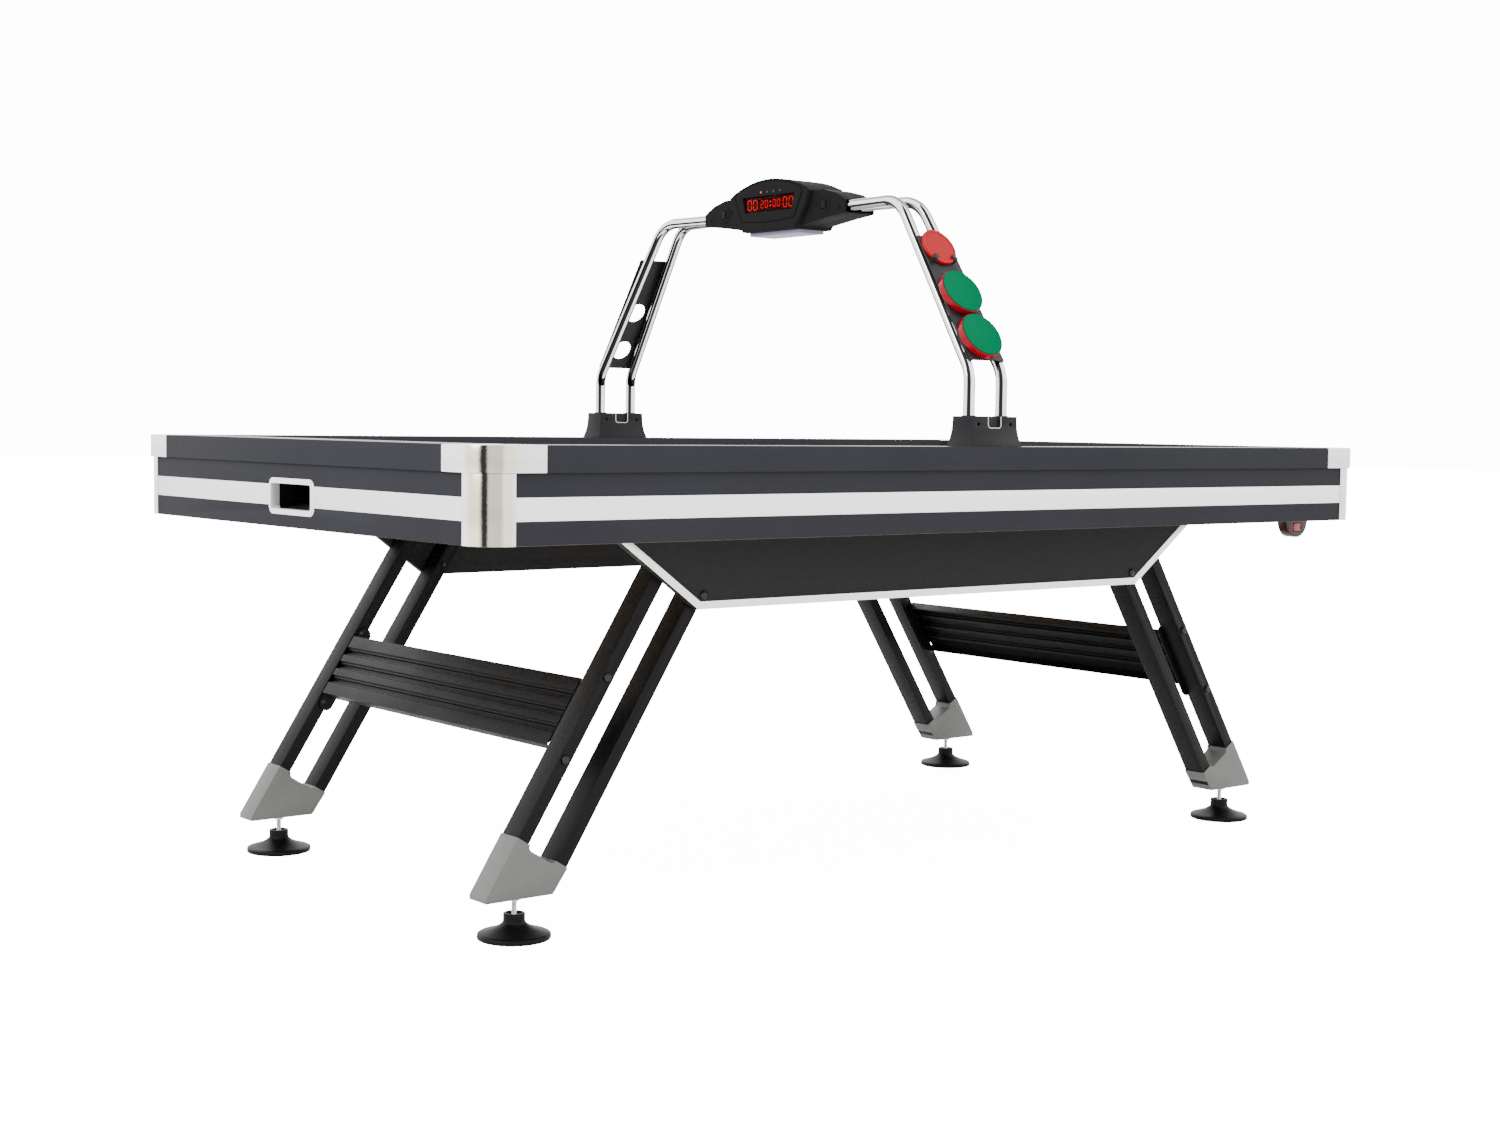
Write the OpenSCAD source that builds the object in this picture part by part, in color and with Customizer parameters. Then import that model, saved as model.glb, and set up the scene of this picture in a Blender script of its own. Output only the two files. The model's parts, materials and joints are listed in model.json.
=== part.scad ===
// Air hockey table, 7.5 ft class, with an overhead scorer on a chrome tube arch.
// Origin on the floor under the table's centre: X along the length, Y across, Z up.

/* [Table] */
// Overall length over the corner caps
table_l = 2286; // [2270:2:2300]
// Overall width over the corner caps
table_w = 1311; // [1300:1:1320]
// Height of the rail top above the floor
rail_top = 844; // [840:1:850]
// Height of the rail
rail_h = 44.6; // [42:0.2:48]
// Width of the side rails
rail_w = 90; // [86:1:96]
// Height of the apron's lower edge above the floor
apron_bot = 684; // [680:1:688]
// Radius of the table's corners in plan
corner_r = 60; // [50:1:66]

/* [Trim] */
// Length of a corner cap's arms
cap_arm = 122; // [110:1:130]
// Length of a corner post's arms
post_arm = 62; // [56:1:80]
// Lower edge of the silver stripe
stripe_lo = 723; // [718:1:728]
// Upper edge of the silver stripe
stripe_hi = 761; // [756:1:766]

/* [Legs] */
// Lean of the leg tubes from vertical
leg_lean = 32.5; // [31:0.5:34]
// Distance from the centre line to an outer leg tube's axis, 300 mm above the floor
outer_tube_x = 860; // [855:1:865]
// Distance between a leg's two tubes, square to them
tube_pitch = 92; // [90:1:96]
// Size of a leg tube across the table
tube_y = 50; // [48:1:52]
// Size of a leg tube along the table
tube_t = 25; // [24:1:28]
// Distance from the centre line to the legs' middle plane
leg_y = 444.5; // [440:0.5:450]
// Diameter of a leveller pad
pad_d = 127; // [120:1:130]

/* [Arch] */
// Diameter of the arch tubes
arch_d = 22; // [21:0.5:23]
// Half the distance between the arch tubes at their bases
arch_s0 = 43; // [42:0.5:44]
// Half the distance between the arch tubes where they enter the scorer
arch_s1 = 14.5; // [14:0.5:16]
// Distance from the centre line to the arch tubes at their bases
arch_y0 = 609; // [606:1:612]
// Height where the arch tubes start to lean in
bend_z = 985; // [975:1:995]
// Height of the arch tubes at the scorer
arch_z = 1325; // [1315:1:1335]

/* [Loose pieces] */
// Diameter of a pusher
pusher_d = 96; // [90:1:98]
// Diameter of the puck
puck_d = 80; // [76:1:82]

/* [Hidden] */

$fn = 48;

hl = table_l / 2;
hw = table_w / 2;
rail_bot = rail_top - rail_h;
cap_proud = 1.5;      // rails sit this far inside the caps' outer faces
cap_t = 4;            // wall of a corner cap
post_inset = 5.7;     // posts' outer faces inside the caps' outer faces
post_t = 3;           // wall of a corner post
apron_inset = 7.2;    // aprons' outer faces inside the caps' outer faces
apron_t = 15;
stripe_t = 0.8;
end_rail_w = 102;     // end rails are wider, to hold the goal pocket
field_x = hl - end_rail_w;
field_y = hw - cap_proud - rail_w;
field_top = 806;
field_t = 10;
mouth_h = 18;         // height of a goal mouth
mouth_y = 150;        // half width of a goal mouth
apron_face = hl - apron_inset;
floor_t = 10;         // cabinet bottom board
plenum_z = 752;       // underside of the plenum frame
hole_pitch = 101.6;
hole_r = 1.5;
seat_gap = 0.02;      // between bolted faces

black = [0.05, 0.05, 0.055];
silver = [0.78, 0.77, 0.74];
grey_paint = [0.62, 0.62, 0.62];
chrome_c = [0.85, 0.85, 0.87];
red = [0.78, 0.03, 0.05];
green = [0.0, 0.55, 0.36];

// Corner points of a rectangle with rounded corners
function round_rect(hx, hy, r, n = 10) = [
    for (c = [[1, 1, 0], [-1, 1, 90], [-1, -1, 180], [1, -1, 270]], k = [0 : n])
        [c[0] * (hx - r) + r * cos(c[2] + 90 * k / n), c[1] * (hy - r) + r * sin(c[2] + 90 * k / n)]];

// Plate between two heights with a plan outline inset from the table's outer faces
module table_slab(inset, z0, z1) {
    translate([0, 0, z0])
        linear_extrude(z1 - z0) polygon(round_rect(hl - inset, hw - inset, corner_r - inset));
}

// Box centred on X and Y
module mid_box(x, y, z0, z1) {
    translate([-x / 2, -y / 2, z0]) cube([x, y, z1 - z0]);
}

// Box between two corners
module span_box(a, b) {
    translate(a) cube(b - a);
}

// Square prisms over the four corners, arm long on each side
module corner_zone(arm, z0, z1) {
    for (sx = [-1, 1], sy = [-1, 1])
        translate([sx * (hl - arm / 2), sy * (hw - arm / 2), z0])
            translate([-arm / 2, -arm / 2, 0]) cube([arm, arm, z1 - z0]);
}

module mirror_x(side) { mirror([side < 0 ? 1 : 0, 0, 0]) children(); }
module mirror_y(side) { mirror([0, side < 0 ? 1 : 0, 0]) children(); }

// ---------------------------------------------------------------- cabinet

// Full ring of rail wood, cut back by the caps at the corners
module rail_ring() {
    difference() {
        union() {
            difference() {
                table_slab(cap_proud, rail_bot, rail_top);
                corner_zone(cap_arm, rail_bot - 1, rail_top + 1);
            }
            table_slab(cap_t, rail_bot, rail_top - cap_t);
        }
        mid_box(2 * field_x, 2 * field_y, rail_bot - 1, rail_top + 1);
    }
}

module side_rail(side) {
    color(black) intersection() {
        rail_ring();
        mirror_y(side) span_box([-hl, field_y, rail_bot], [hl, hw, rail_top]);
    }
}

module end_rail(side) {
    color(black) difference() {
        intersection() {
            rail_ring();
            mirror_x(side) span_box([field_x, -field_y, rail_bot], [hl, field_y, rail_top]);
        }
        mirror_x(side) span_box([field_x - 1, -mouth_y, rail_bot - 1],
            [apron_face - apron_t, mouth_y, field_top + mouth_h]);
    }
}

// Ring of apron board, cut back under the posts
module apron_ring() {
    inner = apron_inset + apron_t;
    difference() {
        union() {
            difference() {
                table_slab(apron_inset, apron_bot, rail_bot);
                corner_zone(post_inset + post_arm, apron_bot - 1, rail_bot + 1);
            }
            table_slab(post_inset + post_t, apron_bot, rail_bot);
        }
        mid_box(2 * (hl - inner), 2 * (hw - inner), apron_bot - 1, rail_bot + 1);
    }
}

module side_apron(side) {
    color(black) intersection() {
        apron_ring();
        mirror_y(side) span_box([-hl, hw - apron_inset - apron_t, apron_bot], [hl, hw, rail_bot]);
    }
}

bezel_z = 740;        // centre height of a puck return
bezel_hy = 88;
bezel_hz = 33;
bezel_ring = 10;
bezel_r = 15;
sleeve_hy = bezel_hy - bezel_ring;
sleeve_hz = bezel_hz - bezel_ring;

// Prism along +X with a rounded outline in YZ
module round_port(hy, hz, r, x0, x1) {
    translate([x0, 0, bezel_z]) rotate([90, 0, 90])
        linear_extrude(x1 - x0) polygon(round_rect(hy, hz, r, 5));
}

module end_apron(side) {
    color(black) difference() {
        intersection() {
            apron_ring();
            mirror_x(side) span_box([hl - apron_inset - apron_t, -(hw - apron_inset - apron_t), apron_bot],
                [hl, hw - apron_inset - apron_t, rail_bot]);
        }
        mirror_x(side) round_port(sleeve_hy + 2, sleeve_hz + 2, bezel_r - 8, hl - 40, hl);
    }
}

// Silver stripes let round the aprons between the posts
module apron_stripes() {
    reach_x = hl - post_inset - post_arm;
    reach_y = hw - post_inset - post_arm;
    face_y = hw - apron_inset;
    color(silver) for (s = [-1, 1]) {
        mirror_y(s) span_box([-reach_x, face_y, stripe_lo], [reach_x, face_y + stripe_t, stripe_hi]);
        for (t = [-1, 1])
            mirror_x(s) mirror_y(t)
                span_box([apron_face, bezel_hy, stripe_lo], [apron_face + stripe_t, reach_y, stripe_hi]);
    }
}

// Metal caps over the rail corners
module corner_caps() {
    color(silver) difference() {
        intersection() {
            table_slab(0, rail_bot, rail_top);
            corner_zone(cap_arm, rail_bot, rail_top);
        }
        table_slab(cap_t, rail_bot - 1, rail_top - cap_t);
        mid_box(2 * field_x, 2 * field_y, rail_bot - 1, rail_top + 1);
    }
}

// Metal posts round the apron corners
module corner_posts() {
    color(silver) difference() {
        intersection() {
            table_slab(post_inset, apron_bot, rail_bot);
            corner_zone(post_inset + post_arm, apron_bot, rail_bot);
        }
        table_slab(post_inset + post_t, apron_bot - 1, rail_bot + 1);
    }
}

// Stepped ring on the end face with a sleeve through the apron
module return_bezel(side) {
    color(silver) mirror_x(side) difference() {
        union() {
            round_port(bezel_hy, bezel_hz, bezel_r, apron_face, apron_face + 2);
            round_port(bezel_hy - 4, bezel_hz - 4, bezel_r - 4, apron_face + 2, apron_face + 4);
            round_port(sleeve_hy + 2, sleeve_hz + 2, bezel_r - 8, apron_face - apron_t, apron_face);
        }
        round_port(sleeve_hy, sleeve_hz, bezel_r - 10, apron_face - apron_t - 1, apron_face + 5);
    }
}

// Open-topped tray that catches the puck below a goal mouth and slopes it to the return
module goal_box(side) {
    wall = 3;
    back = apron_face - apron_t;
    tray_hi = 726;
    tray_lo = bezel_z - sleeve_hz - 1;
    color(black) mirror_x(side) {
        difference() {
            span_box([field_x - wall, -mouth_y - wall, apron_bot + floor_t],
                [back, mouth_y + wall, field_top - field_t]);
            span_box([field_x, -mouth_y, apron_bot], [back + 1, mouth_y, field_top]);
        }
        rotate([90, 0, 0]) linear_extrude(2 * mouth_y, center = true)
            polygon([[field_x, tray_hi - wall], [field_x, tray_hi], [back, tray_lo],
                [back, tray_lo - wall]]);
    }
}

blower_r = 105;       // outer radius of the blower housing
intake_r = 70;        // radius of the air intake

module cabinet_bottom() {
    inner_x = hl - apron_inset - apron_t;
    inner_y = hw - apron_inset - apron_t;
    color([0.25, 0.22, 0.2]) difference() {
        mid_box(2 * inner_x, 2 * inner_y, apron_bot, apron_bot + floor_t);
        translate([0, 0, apron_bot - 1]) cylinder(r = intake_r, h = floor_t + 2);
        for (sx = [-1, 1], sy = [-1, 1])
            translate([sx * inner_x, sy * inner_y, apron_bot - 1]) rotate([0, 0, 45])
                mid_box(12, 12, 0, floor_t + 2);
    }
}

// Slats that hold the playfield above the plenum floor and seal its edges
module plenum_frame() {
    px = field_x - 10;
    py = field_y - 4;
    slat = 30;
    color([0.6, 0.5, 0.38]) {
        difference() {
            mid_box(2 * px, 2 * py, plenum_z, field_top - field_t);
            mid_box(2 * (px - slat), 2 * (py - slat), plenum_z - 1, field_top);
        }
        for (s = [-1, 1])
            span_box([-0.7 * px, s * py / 3 - slat / 2, plenum_z],
                [0.7 * px, s * py / 3 + slat / 2, field_top - field_t]);
    }
}

module plenum_floor() {
    color([0.45, 0.38, 0.3]) difference() {
        mid_box(2 * (field_x - 10), 2 * (field_y - 4), plenum_z - 6, plenum_z);
        translate([0, 0, plenum_z - 7]) cylinder(r = intake_r, h = 8);
    }
}

// Board with a drilled grid of air holes, its ends flush with the rails' inner faces
module playfield() {
    nx = floor(field_x / hole_pitch);
    ny = floor(field_y / hole_pitch);
    color([0.93, 0.94, 0.95]) translate([0, 0, field_top - field_t]) linear_extrude(field_t)
        difference() {
            square([2 * field_x, 2 * field_y], center = true);
            for (i = [-nx : nx], j = [-ny : ny])
                translate([i * hole_pitch, j * hole_pitch]) circle(r = hole_r, $fn = 16);
        }
}

// ---------------------------------------------------------------- blower

wheel_z0 = apron_bot + floor_t + 8;
wheel_z1 = plenum_z - 6 - 8;
shaft_r = 4;

module blower_housing() {
    color([0.2, 0.2, 0.22]) difference() {
        translate([0, 0, apron_bot + floor_t])
            cylinder(r = blower_r, h = plenum_z - 6 - apron_bot - floor_t);
        translate([0, 0, apron_bot + floor_t + 3])
            cylinder(r = blower_r - 3, h = plenum_z - 12 - apron_bot - floor_t);
        translate([0, 0, apron_bot]) cylinder(r = intake_r, h = plenum_z);
    }
}

// Squirrel-cage wheel: hub disc, ring and straight blades
module blower_impeller() {
    blades = 18;
    r_out = 92;
    r_in = 76;
    color([0.3, 0.3, 0.33]) {
        difference() {
            union() {
                translate([0, 0, wheel_z0 + 16]) cylinder(r = r_out, h = 3);
                translate([0, 0, wheel_z0 + 8]) cylinder(r = 12, h = 19);
            }
            translate([0, 0, wheel_z0]) cylinder(r = shaft_r + 0.05, h = 40);
        }
        for (k = [0 : blades - 1])
            rotate([0, 0, k * 360 / blades])
                span_box([r_in, -1, wheel_z0], [r_out - 1, 1, wheel_z0 + 16]);
        difference() {
            translate([0, 0, wheel_z0 - 2]) cylinder(r = r_out, h = 2);
            translate([0, 0, wheel_z0 - 3]) cylinder(r = r_in - 1, h = 4);
        }
    }
}

// Motor hung from a cross strap over the intake, its shaft up through the wheel's hub
module blower_motor() {
    color([0.35, 0.35, 0.38]) {
        translate([0, 0, apron_bot - 26]) cylinder(r = 34, h = 30);
        translate([0, 0, apron_bot + 4]) cylinder(r = shaft_r, h = 50);
        difference() {
            span_box([-95, -9, apron_bot - 3], [95, 9, apron_bot]);
            translate([0, 0, apron_bot - 4]) cylinder(r = 34, h = 5);
        }
    }
}

// Wire guard rings over the intake
module intake_grille() {
    color(black) translate([0, 0, -seat_gap]) difference() {
        union() {
            for (r = [44, 56, 68, 80])
                translate([0, 0, apron_bot - 3]) difference() {
                    cylinder(r = r, h = 3);
                    translate([0, 0, -1]) cylinder(r = r - 3, h = 5);
                }
            for (a = [45, 135])
                rotate([0, 0, a]) span_box([-80, -2, apron_bot - 3], [80, 2, apron_bot]);
        }
        translate([0, 0, apron_bot - 4]) cylinder(r = 38, h = 5);
        span_box([-96, -9.5, apron_bot - 4], [96, 9.5, apron_bot + 1]);
    }
}

// ---------------------------------------------------------------- power switch

pod_x = 971;          // place of the switch under the near apron
pod_y = -602;
pod_r = 37;
rocker_z = apron_bot - 15;
rocker_pin_r = 3;

module switch_pod() {
    color([0.12, 0.02, 0.03]) difference() {
        intersection() {
            translate([pod_x, pod_y + 12, apron_bot]) rotate([90, 0, 0]) cylinder(r = pod_r, h = 24);
            span_box([pod_x - 60, pod_y - 20, apron_bot - 60], [pod_x + 60, pod_y + 20, apron_bot]);
        }
        span_box([pod_x - 13, pod_y - 13, rocker_z - 10], [pod_x + 13, pod_y + 2, rocker_z + 10]);
        translate([pod_x - 15.2, pod_y - 7, rocker_z]) rotate([0, 90, 0])
            cylinder(r = rocker_pin_r + 0.05, h = 30.4);
    }
}

module power_rocker() {
    color(red) translate([pod_x, pod_y - 7, rocker_z]) rotate([0, 90, 0]) {
        cylinder(r = rocker_pin_r, h = 30, center = true);
        linear_extrude(22, center = true)
            polygon([[-8.5, -6.5], [0, -5], [8.5, -6.5], [8, 0], [0, 3], [-8, 0]]);
    }
}

// ---------------------------------------------------------------- panels

panel_in = leg_y + tube_y / 2 + 0.5;
panel_t = 15;
panel_z0 = 549.7;
panel_hx0 = 587.7;
panel_hx1 = 772;
trim_w = 14;
trim_t = 1.5;
panel_bolt_z = 575;

// Distance from the centre line to a tube's axis at a height
function tube_x(z, outer) = outer_tube_x - tan(leg_lean) * (z - 300)
    - (outer ? 0 : tube_pitch / cos(leg_lean));

module side_panel(side) {
    color(black) mirror_y(side) difference() {
        translate([0, panel_in + panel_t, 0]) rotate([90, 0, 0]) linear_extrude(panel_t)
            polygon([[-panel_hx0, panel_z0], [panel_hx0, panel_z0], [panel_hx1, apron_bot],
                [-panel_hx1, apron_bot]]);
        for (s = [-1, 1])
            translate([s * tube_x(panel_bolt_z, false), panel_in - 1, panel_bolt_z])
                rotate([-90, 0, 0]) cylinder(r = 4.2, h = panel_t + 2);
    }
}

// Edge strips on the panels' outer faces
module panel_trims() {
    slope = (panel_hx1 - panel_hx0) / (apron_bot - panel_z0);
    edge = trim_w * sqrt(1 + slope * slope);
    foot = panel_hx0 + slope * trim_w - edge;
    color(silver) for (side = [-1, 1]) mirror_y(side)
        translate([0, panel_in + panel_t + trim_t, 0]) rotate([90, 0, 0]) linear_extrude(trim_t)
            polygon([[-panel_hx0, panel_z0], [panel_hx0, panel_z0], [panel_hx1, apron_bot],
                [panel_hx1 - edge, apron_bot], [foot, panel_z0 + trim_w],
                [-foot, panel_z0 + trim_w], [edge - panel_hx1, apron_bot], [-panel_hx1, apron_bot]]);
}

// ---------------------------------------------------------------- legs

tube_wall = 2;
shoe_z0 = 72;
socket = 36;          // how far a tube reaches into its shoe
shoe_hy = 27;
level_x = 944.4;
stud_r = 5;
bolt_r = 4;
bolt_gap = 0.2;
bracket_t = 4;
bracket_len = 190;
bracket_w = 30;
panel_lo = 308;       // cross panel's lower edge, at its front
panel_hi = 420;       // cross panel's upper edge, at its front
bolt_span = 162;      // between the two bolts along a tube

// Frame on the +X side with its origin on an outer tube's axis: local Z up the tube, local X outwards
module on_tube(z) {
    translate([tube_x(z, true), 0, z]) rotate([0, -leg_lean, 0]) children();
}

shoe_mouth_z = 164;   // where the shoes' top edges cross the line midway between the tubes
cross_mid_z = 370.3;   // middle of the brackets

// One tube of a leg, offset square to the tubes, cut level at the cabinet's underside
module leg_tube(offset_x) {
    on_tube(shoe_mouth_z)
        translate([offset_x - tube_t / 2, leg_y - tube_y / 2, mouth_lift - socket])
            cube([tube_t, tube_y, 900]);
}

mouth_lift = 8;       // shoe mouth above the frame's origin along the tube

module leg_bore(offset_x) {
    on_tube(shoe_mouth_z)
        translate([offset_x - tube_t / 2 + tube_wall, leg_y - tube_y / 2 + tube_wall,
            mouth_lift - socket - 1])
            cube([tube_t - 2 * tube_wall, tube_y - 2 * tube_wall, 1000]);
}

// Places of the two bolts through an outer tube and its bracket
module at_frame_bolts() {
    for (k = [-1, 1])
        on_tube(cross_mid_z) translate([0, 0, k * bolt_span / 2]) rotate([-90, 0, 0]) children();
}

module leg(sx, sy) {
    color(black) mirror_x(sx) mirror_y(sy) difference() {
        intersection() {
            union() {
                leg_tube(0);
                leg_tube(-tube_pitch);
            }
            span_box([0, 0, 0], [hl, hw, apron_bot]);
        }
        leg_bore(0);
        leg_bore(-tube_pitch);
        translate([0, leg_y - tube_y, 0]) at_frame_bolts() cylinder(r = bolt_r + bolt_gap, h = 2 * tube_y);
        translate([tube_x(panel_bolt_z, false), leg_y - tube_y, panel_bolt_z])
            rotate([-90, 0, 0]) cylinder(r = bolt_r + bolt_gap, h = 2 * tube_y);
    }
}

// Cast shoe that joins a leg's tubes and holds the leveller's thread
module leg_shoe(sx, sy) {
    half = tube_t / 2 + 2;
    notch = 8;
    out_x = half;
    in_x = -tube_pitch - half;
    mid_in = -tube_pitch + half + 4;
    mid_out = -half - 4;
    color(grey_paint) mirror_x(sx) mirror_y(sy) difference() {
        intersection() {
            on_tube(shoe_mouth_z) translate([0, leg_y + shoe_hy, 0]) rotate([90, 0, 0])
                linear_extrude(2 * shoe_hy)
                    polygon([[out_x, mouth_lift], [out_x, -200], [in_x, -200], [in_x, mouth_lift],
                        [mid_in - 4, mouth_lift], [mid_in - 2, mouth_lift - notch + 3],
                        [mid_in + 3, mouth_lift - notch], [mid_out - 3, mouth_lift - notch],
                        [mid_out + 2, mouth_lift - notch + 3], [mid_out + 4, mouth_lift]]);
            rotate([90, 0, 0]) translate([0, 0, -600]) linear_extrude(400)
                polygon([[850, 118], [883, shoe_z0], [1017, shoe_z0], [1017, 300], [700, 300],
                    [850, 118 + 150]]);
        }
        leg_tube(0);
        leg_tube(-tube_pitch);
        translate([level_x, leg_y, shoe_z0 - 1]) cylinder(r = stud_r + 0.1, h = 57);
    }
}

module leg_shoes() {
    for (sx = [-1, 1], sy = [-1, 1]) leg_shoe(sx, sy);
}

// Outline of a leveller's pad and stud, turned about Z
function pad_profile(n = 8) = concat(
    [[0, 0], [pad_d / 2 - 1.5, 0], [pad_d / 2, 1.5], [pad_d / 2, 7], [pad_d / 2 - 2, 9]],
    [for (k = [0 : n]) [19 + 41 * pow(1 - k / n, 1.9), 10 + 21 * k / n]],
    [[19, 44], [14, 44], [12, 41], [stud_r, 41], [stud_r, 111], [stud_r - 1.5, 112.5], [0, 112.5]]);

module leveller(sx, sy) {
    color([0.1, 0.1, 0.1]) translate([sx * level_x, sy * leg_y, 0])
        rotate_extrude($fn = 64) polygon(pad_profile());
}

module jam_nuts() {
    color(chrome_c) for (sx = [-1, 1], sy = [-1, 1])
        translate([sx * level_x, sy * leg_y, shoe_z0 - 7]) difference() {
            union() {
                cylinder(r = 9.8, h = 5.5, $fn = 6);
                translate([0, 0, 5.5]) cylinder(r = 10, h = 1.5);
            }
            translate([0, 0, -1]) cylinder(r = stud_r + 0.1, h = 9);
        }
}

// Folded steel panel with three stepped grooves, between the outer tubes
module cross_panel(side) {
    len_u = (panel_hi - panel_lo) / cos(leg_lean);
    sheet = 1.5;
    flange = 24;
    half_u = len_u / 2;
    groove = 5;
    step = 4;
    rise = (panel_lo + panel_hi) / 2;
    // front outline up the slope: flat ribs and double-step grooves
    front = concat([[0, -half_u]],
        [for (g = [-1, 0, 1], q = [[0, -9], [-step, -7], [-step, -4], [-groove - step, -3],
            [-groove - step, 3], [-step, 4], [-step, 7], [0, 9]]) [q[0], q[1] + g * len_u / 4.1]],
        [[0, half_u]]);
    inner = [for (k = [len(front) - 1 : -1 : 0]) front[k] - [sheet, 0]];
    color(black) mirror_x(side) on_tube(rise)
        translate([tube_t / 2, 415, tube_t / 2 * tan(leg_lean)]) rotate([90, 0, 0]) {
            linear_extrude(830) polygon(concat(front, inner));
            for (s = [-1, 1]) linear_extrude(830)
                polygon([[0, s * half_u], [-flange, s * half_u], [-flange, s * (half_u - sheet)],
                    [-sheet, s * (half_u - sheet)], [-sheet, s * (half_u - 4)], [0, s * (half_u - 4)]]);
        }
}

// Plates that bolt the cross panels to the tubes
module cross_brackets() {
    r = bracket_w / 2;
    half = bracket_len / 2 - r;
    color(black) for (sx = [-1, 1], sy = [-1, 1]) mirror_x(sx) mirror_y(sy) difference() {
        translate([0, leg_y - tube_y / 2 - seat_gap, 0]) on_tube(cross_mid_z) translate([-8, 0, 0])
            rotate([90, 0, 0]) linear_extrude(bracket_t)
                polygon([for (s = [0, 1], k = [0 : 12])
                    [r * cos(180 * s + 180 * k / 12), (s == 0 ? half : -half)
                        + r * sin(180 * s + 180 * k / 12)]]);
        translate([0, leg_y - tube_y, 0]) at_frame_bolts() cylinder(r = bolt_r + bolt_gap, h = tube_y);
    }
}

// Button-head bolt along +Y with its head's underside at the origin
module frame_bolt(length) {
    rotate([-90, 0, 0]) {
        cylinder(r = 8, h = 3);
        translate([0, 0, 3]) cylinder(r1 = 8, r2 = 5, h = 2.5);
        translate([0, 0, -length]) cylinder(r = bolt_r, h = length);
    }
}

module frame_bolts() {
    face = leg_y + tube_y / 2;
    color([0.3, 0.3, 0.32]) for (sx = [-1, 1], sy = [-1, 1]) mirror_x(sx) mirror_y(sy) {
        translate([0, face, 0]) for (k = [-1, 1])
            on_tube(cross_mid_z) translate([0, 0, k * bolt_span / 2]) frame_bolt(tube_y + bracket_t);
        translate([tube_x(panel_bolt_z, false), panel_in + panel_t, panel_bolt_z])
            frame_bolt(tube_y + panel_t + 5);
    }
}

// ---------------------------------------------------------------- arch

base_h = 57;
base_top = rail_top + base_h;
base_hx = [60, 69];   // half length at the top and the bottom
base_hy = [26, 33];   // half depth at the top and the bottom
bend_r = 75;
tube_r = arch_d / 2;
bore_r = tube_r - 1.5;
arch_y2 = 388;        // upper bend
pod_mouth = 232;      // half length of the scorer pod
arch_end_y = 202;     // the tubes end inside the pod's wings
arch_foot_z = rail_top + 8;

// Points of a flared side from top to bottom
function flare(half, n = 8) = [for (k = [0 : n])
    [half[0] + (half[1] - half[0]) * pow(k / n, 2.6), base_top - base_h * k / n]];

function both_sides(pts) = concat(pts, [for (k = [len(pts) - 1 : -1 : 0]) [-pts[k][0], pts[k][1]]]);

module arch_base(side) {
    color(black) mirror_y(side) difference() {
        intersection() {
            translate([0, arch_y0 + 60, 0]) rotate([90, 0, 0]) linear_extrude(120)
                polygon(both_sides(flare(base_hx)));
            translate([-80, arch_y0, 0]) rotate([90, 0, 90]) linear_extrude(160)
                polygon(both_sides(flare(base_hy)));
        }
        for (s = [-1, 1]) {
            translate([s * arch_s0, arch_y0, arch_foot_z]) cylinder(r = tube_r + 0.05, h = 100);
            for (f = [-1, 1])
                translate([s * arch_s0, arch_y0 + f * 40, base_top - 15])
                    rotate([f * 90, 0, 0]) cylinder(r = 3.5, h = 18);
        }
        // shallow U recesses on both faces
        for (f = [-1, 1])
            translate([0, arch_y0 + f * 33, 0]) rotate([90, 0, 0])
                linear_extrude(24, center = true)
                    polygon([[-17, base_top + 1], [-17, base_top - 14], [-15, base_top - 19],
                        [-10, base_top - 22], [10, base_top - 22], [15, base_top - 19],
                        [17, base_top - 14], [17, base_top + 1]]);
    }
}

// Half spacing of the tubes at a distance from the centre line
function arch_s(y) = arch_s0 - (arch_s0 - arch_s1) * (arch_y0 - y) / (arch_y0 - pod_mouth);

// Angle of the tubes' plane in plan, and the lean of their sloping run
arch_plan = atan((arch_s0 - arch_s1) / (arch_y0 - pod_mouth));
reach_bend = (arch_y0 - arch_y2) / cos(arch_plan);
reach_end = (arch_y0 - arch_end_y) / cos(arch_plan);
run_lean = atan(reach_bend / (arch_z - bend_z));
cut_lo = bend_r * tan(run_lean / 2);
cut_hi = bend_r * tan((90 - run_lean) / 2);
run_len = (arch_z - bend_z) / cos(run_lean) - cut_lo - cut_hi;

bend_thin = 0.1;      // the bends' walls are drawn this much thinner on each side
lap = 2;              // straight runs reach this far into the bends

module tube_ring(thin = 0) {
    difference() {
        circle(r = tube_r - thin);
        circle(r = bore_r + thin);
    }
}

// Straight run up local Z that laps into the bends at either end
module tube_run(length, lap_lo, lap_hi) {
    translate([0, 0, -lap_lo]) linear_extrude(length + lap_lo + lap_hi) tube_ring();
}

// Bend in the XZ plane about a centre, from one angle through a turn
module tube_bend(centre, from, turn) {
    translate(centre) rotate([90, 0, 0]) rotate([0, 0, from])
        rotate_extrude(angle = turn) translate([bend_r, 0]) tube_ring(bend_thin);
}

// One bent tube in its own plane: X inwards along the plan line, origin at its foot
module bent_tube() {
    lower = bend_z - cut_lo;
    translate([0, 0, arch_foot_z]) tube_run(lower - arch_foot_z, 0, lap);
    tube_bend([bend_r, 0, lower], 180 - run_lean, run_lean);
    translate([cut_lo * sin(run_lean), 0, bend_z + cut_lo * cos(run_lean)])
        rotate([0, run_lean, 0]) tube_run(run_len, lap, lap);
    tube_bend([reach_bend + cut_hi, 0, arch_z - bend_r], 90, 90 - run_lean);
    translate([reach_bend + cut_hi, 0, arch_z]) rotate([0, 90, 0])
        tube_run(reach_end - reach_bend - cut_hi, lap, 0);
}

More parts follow.
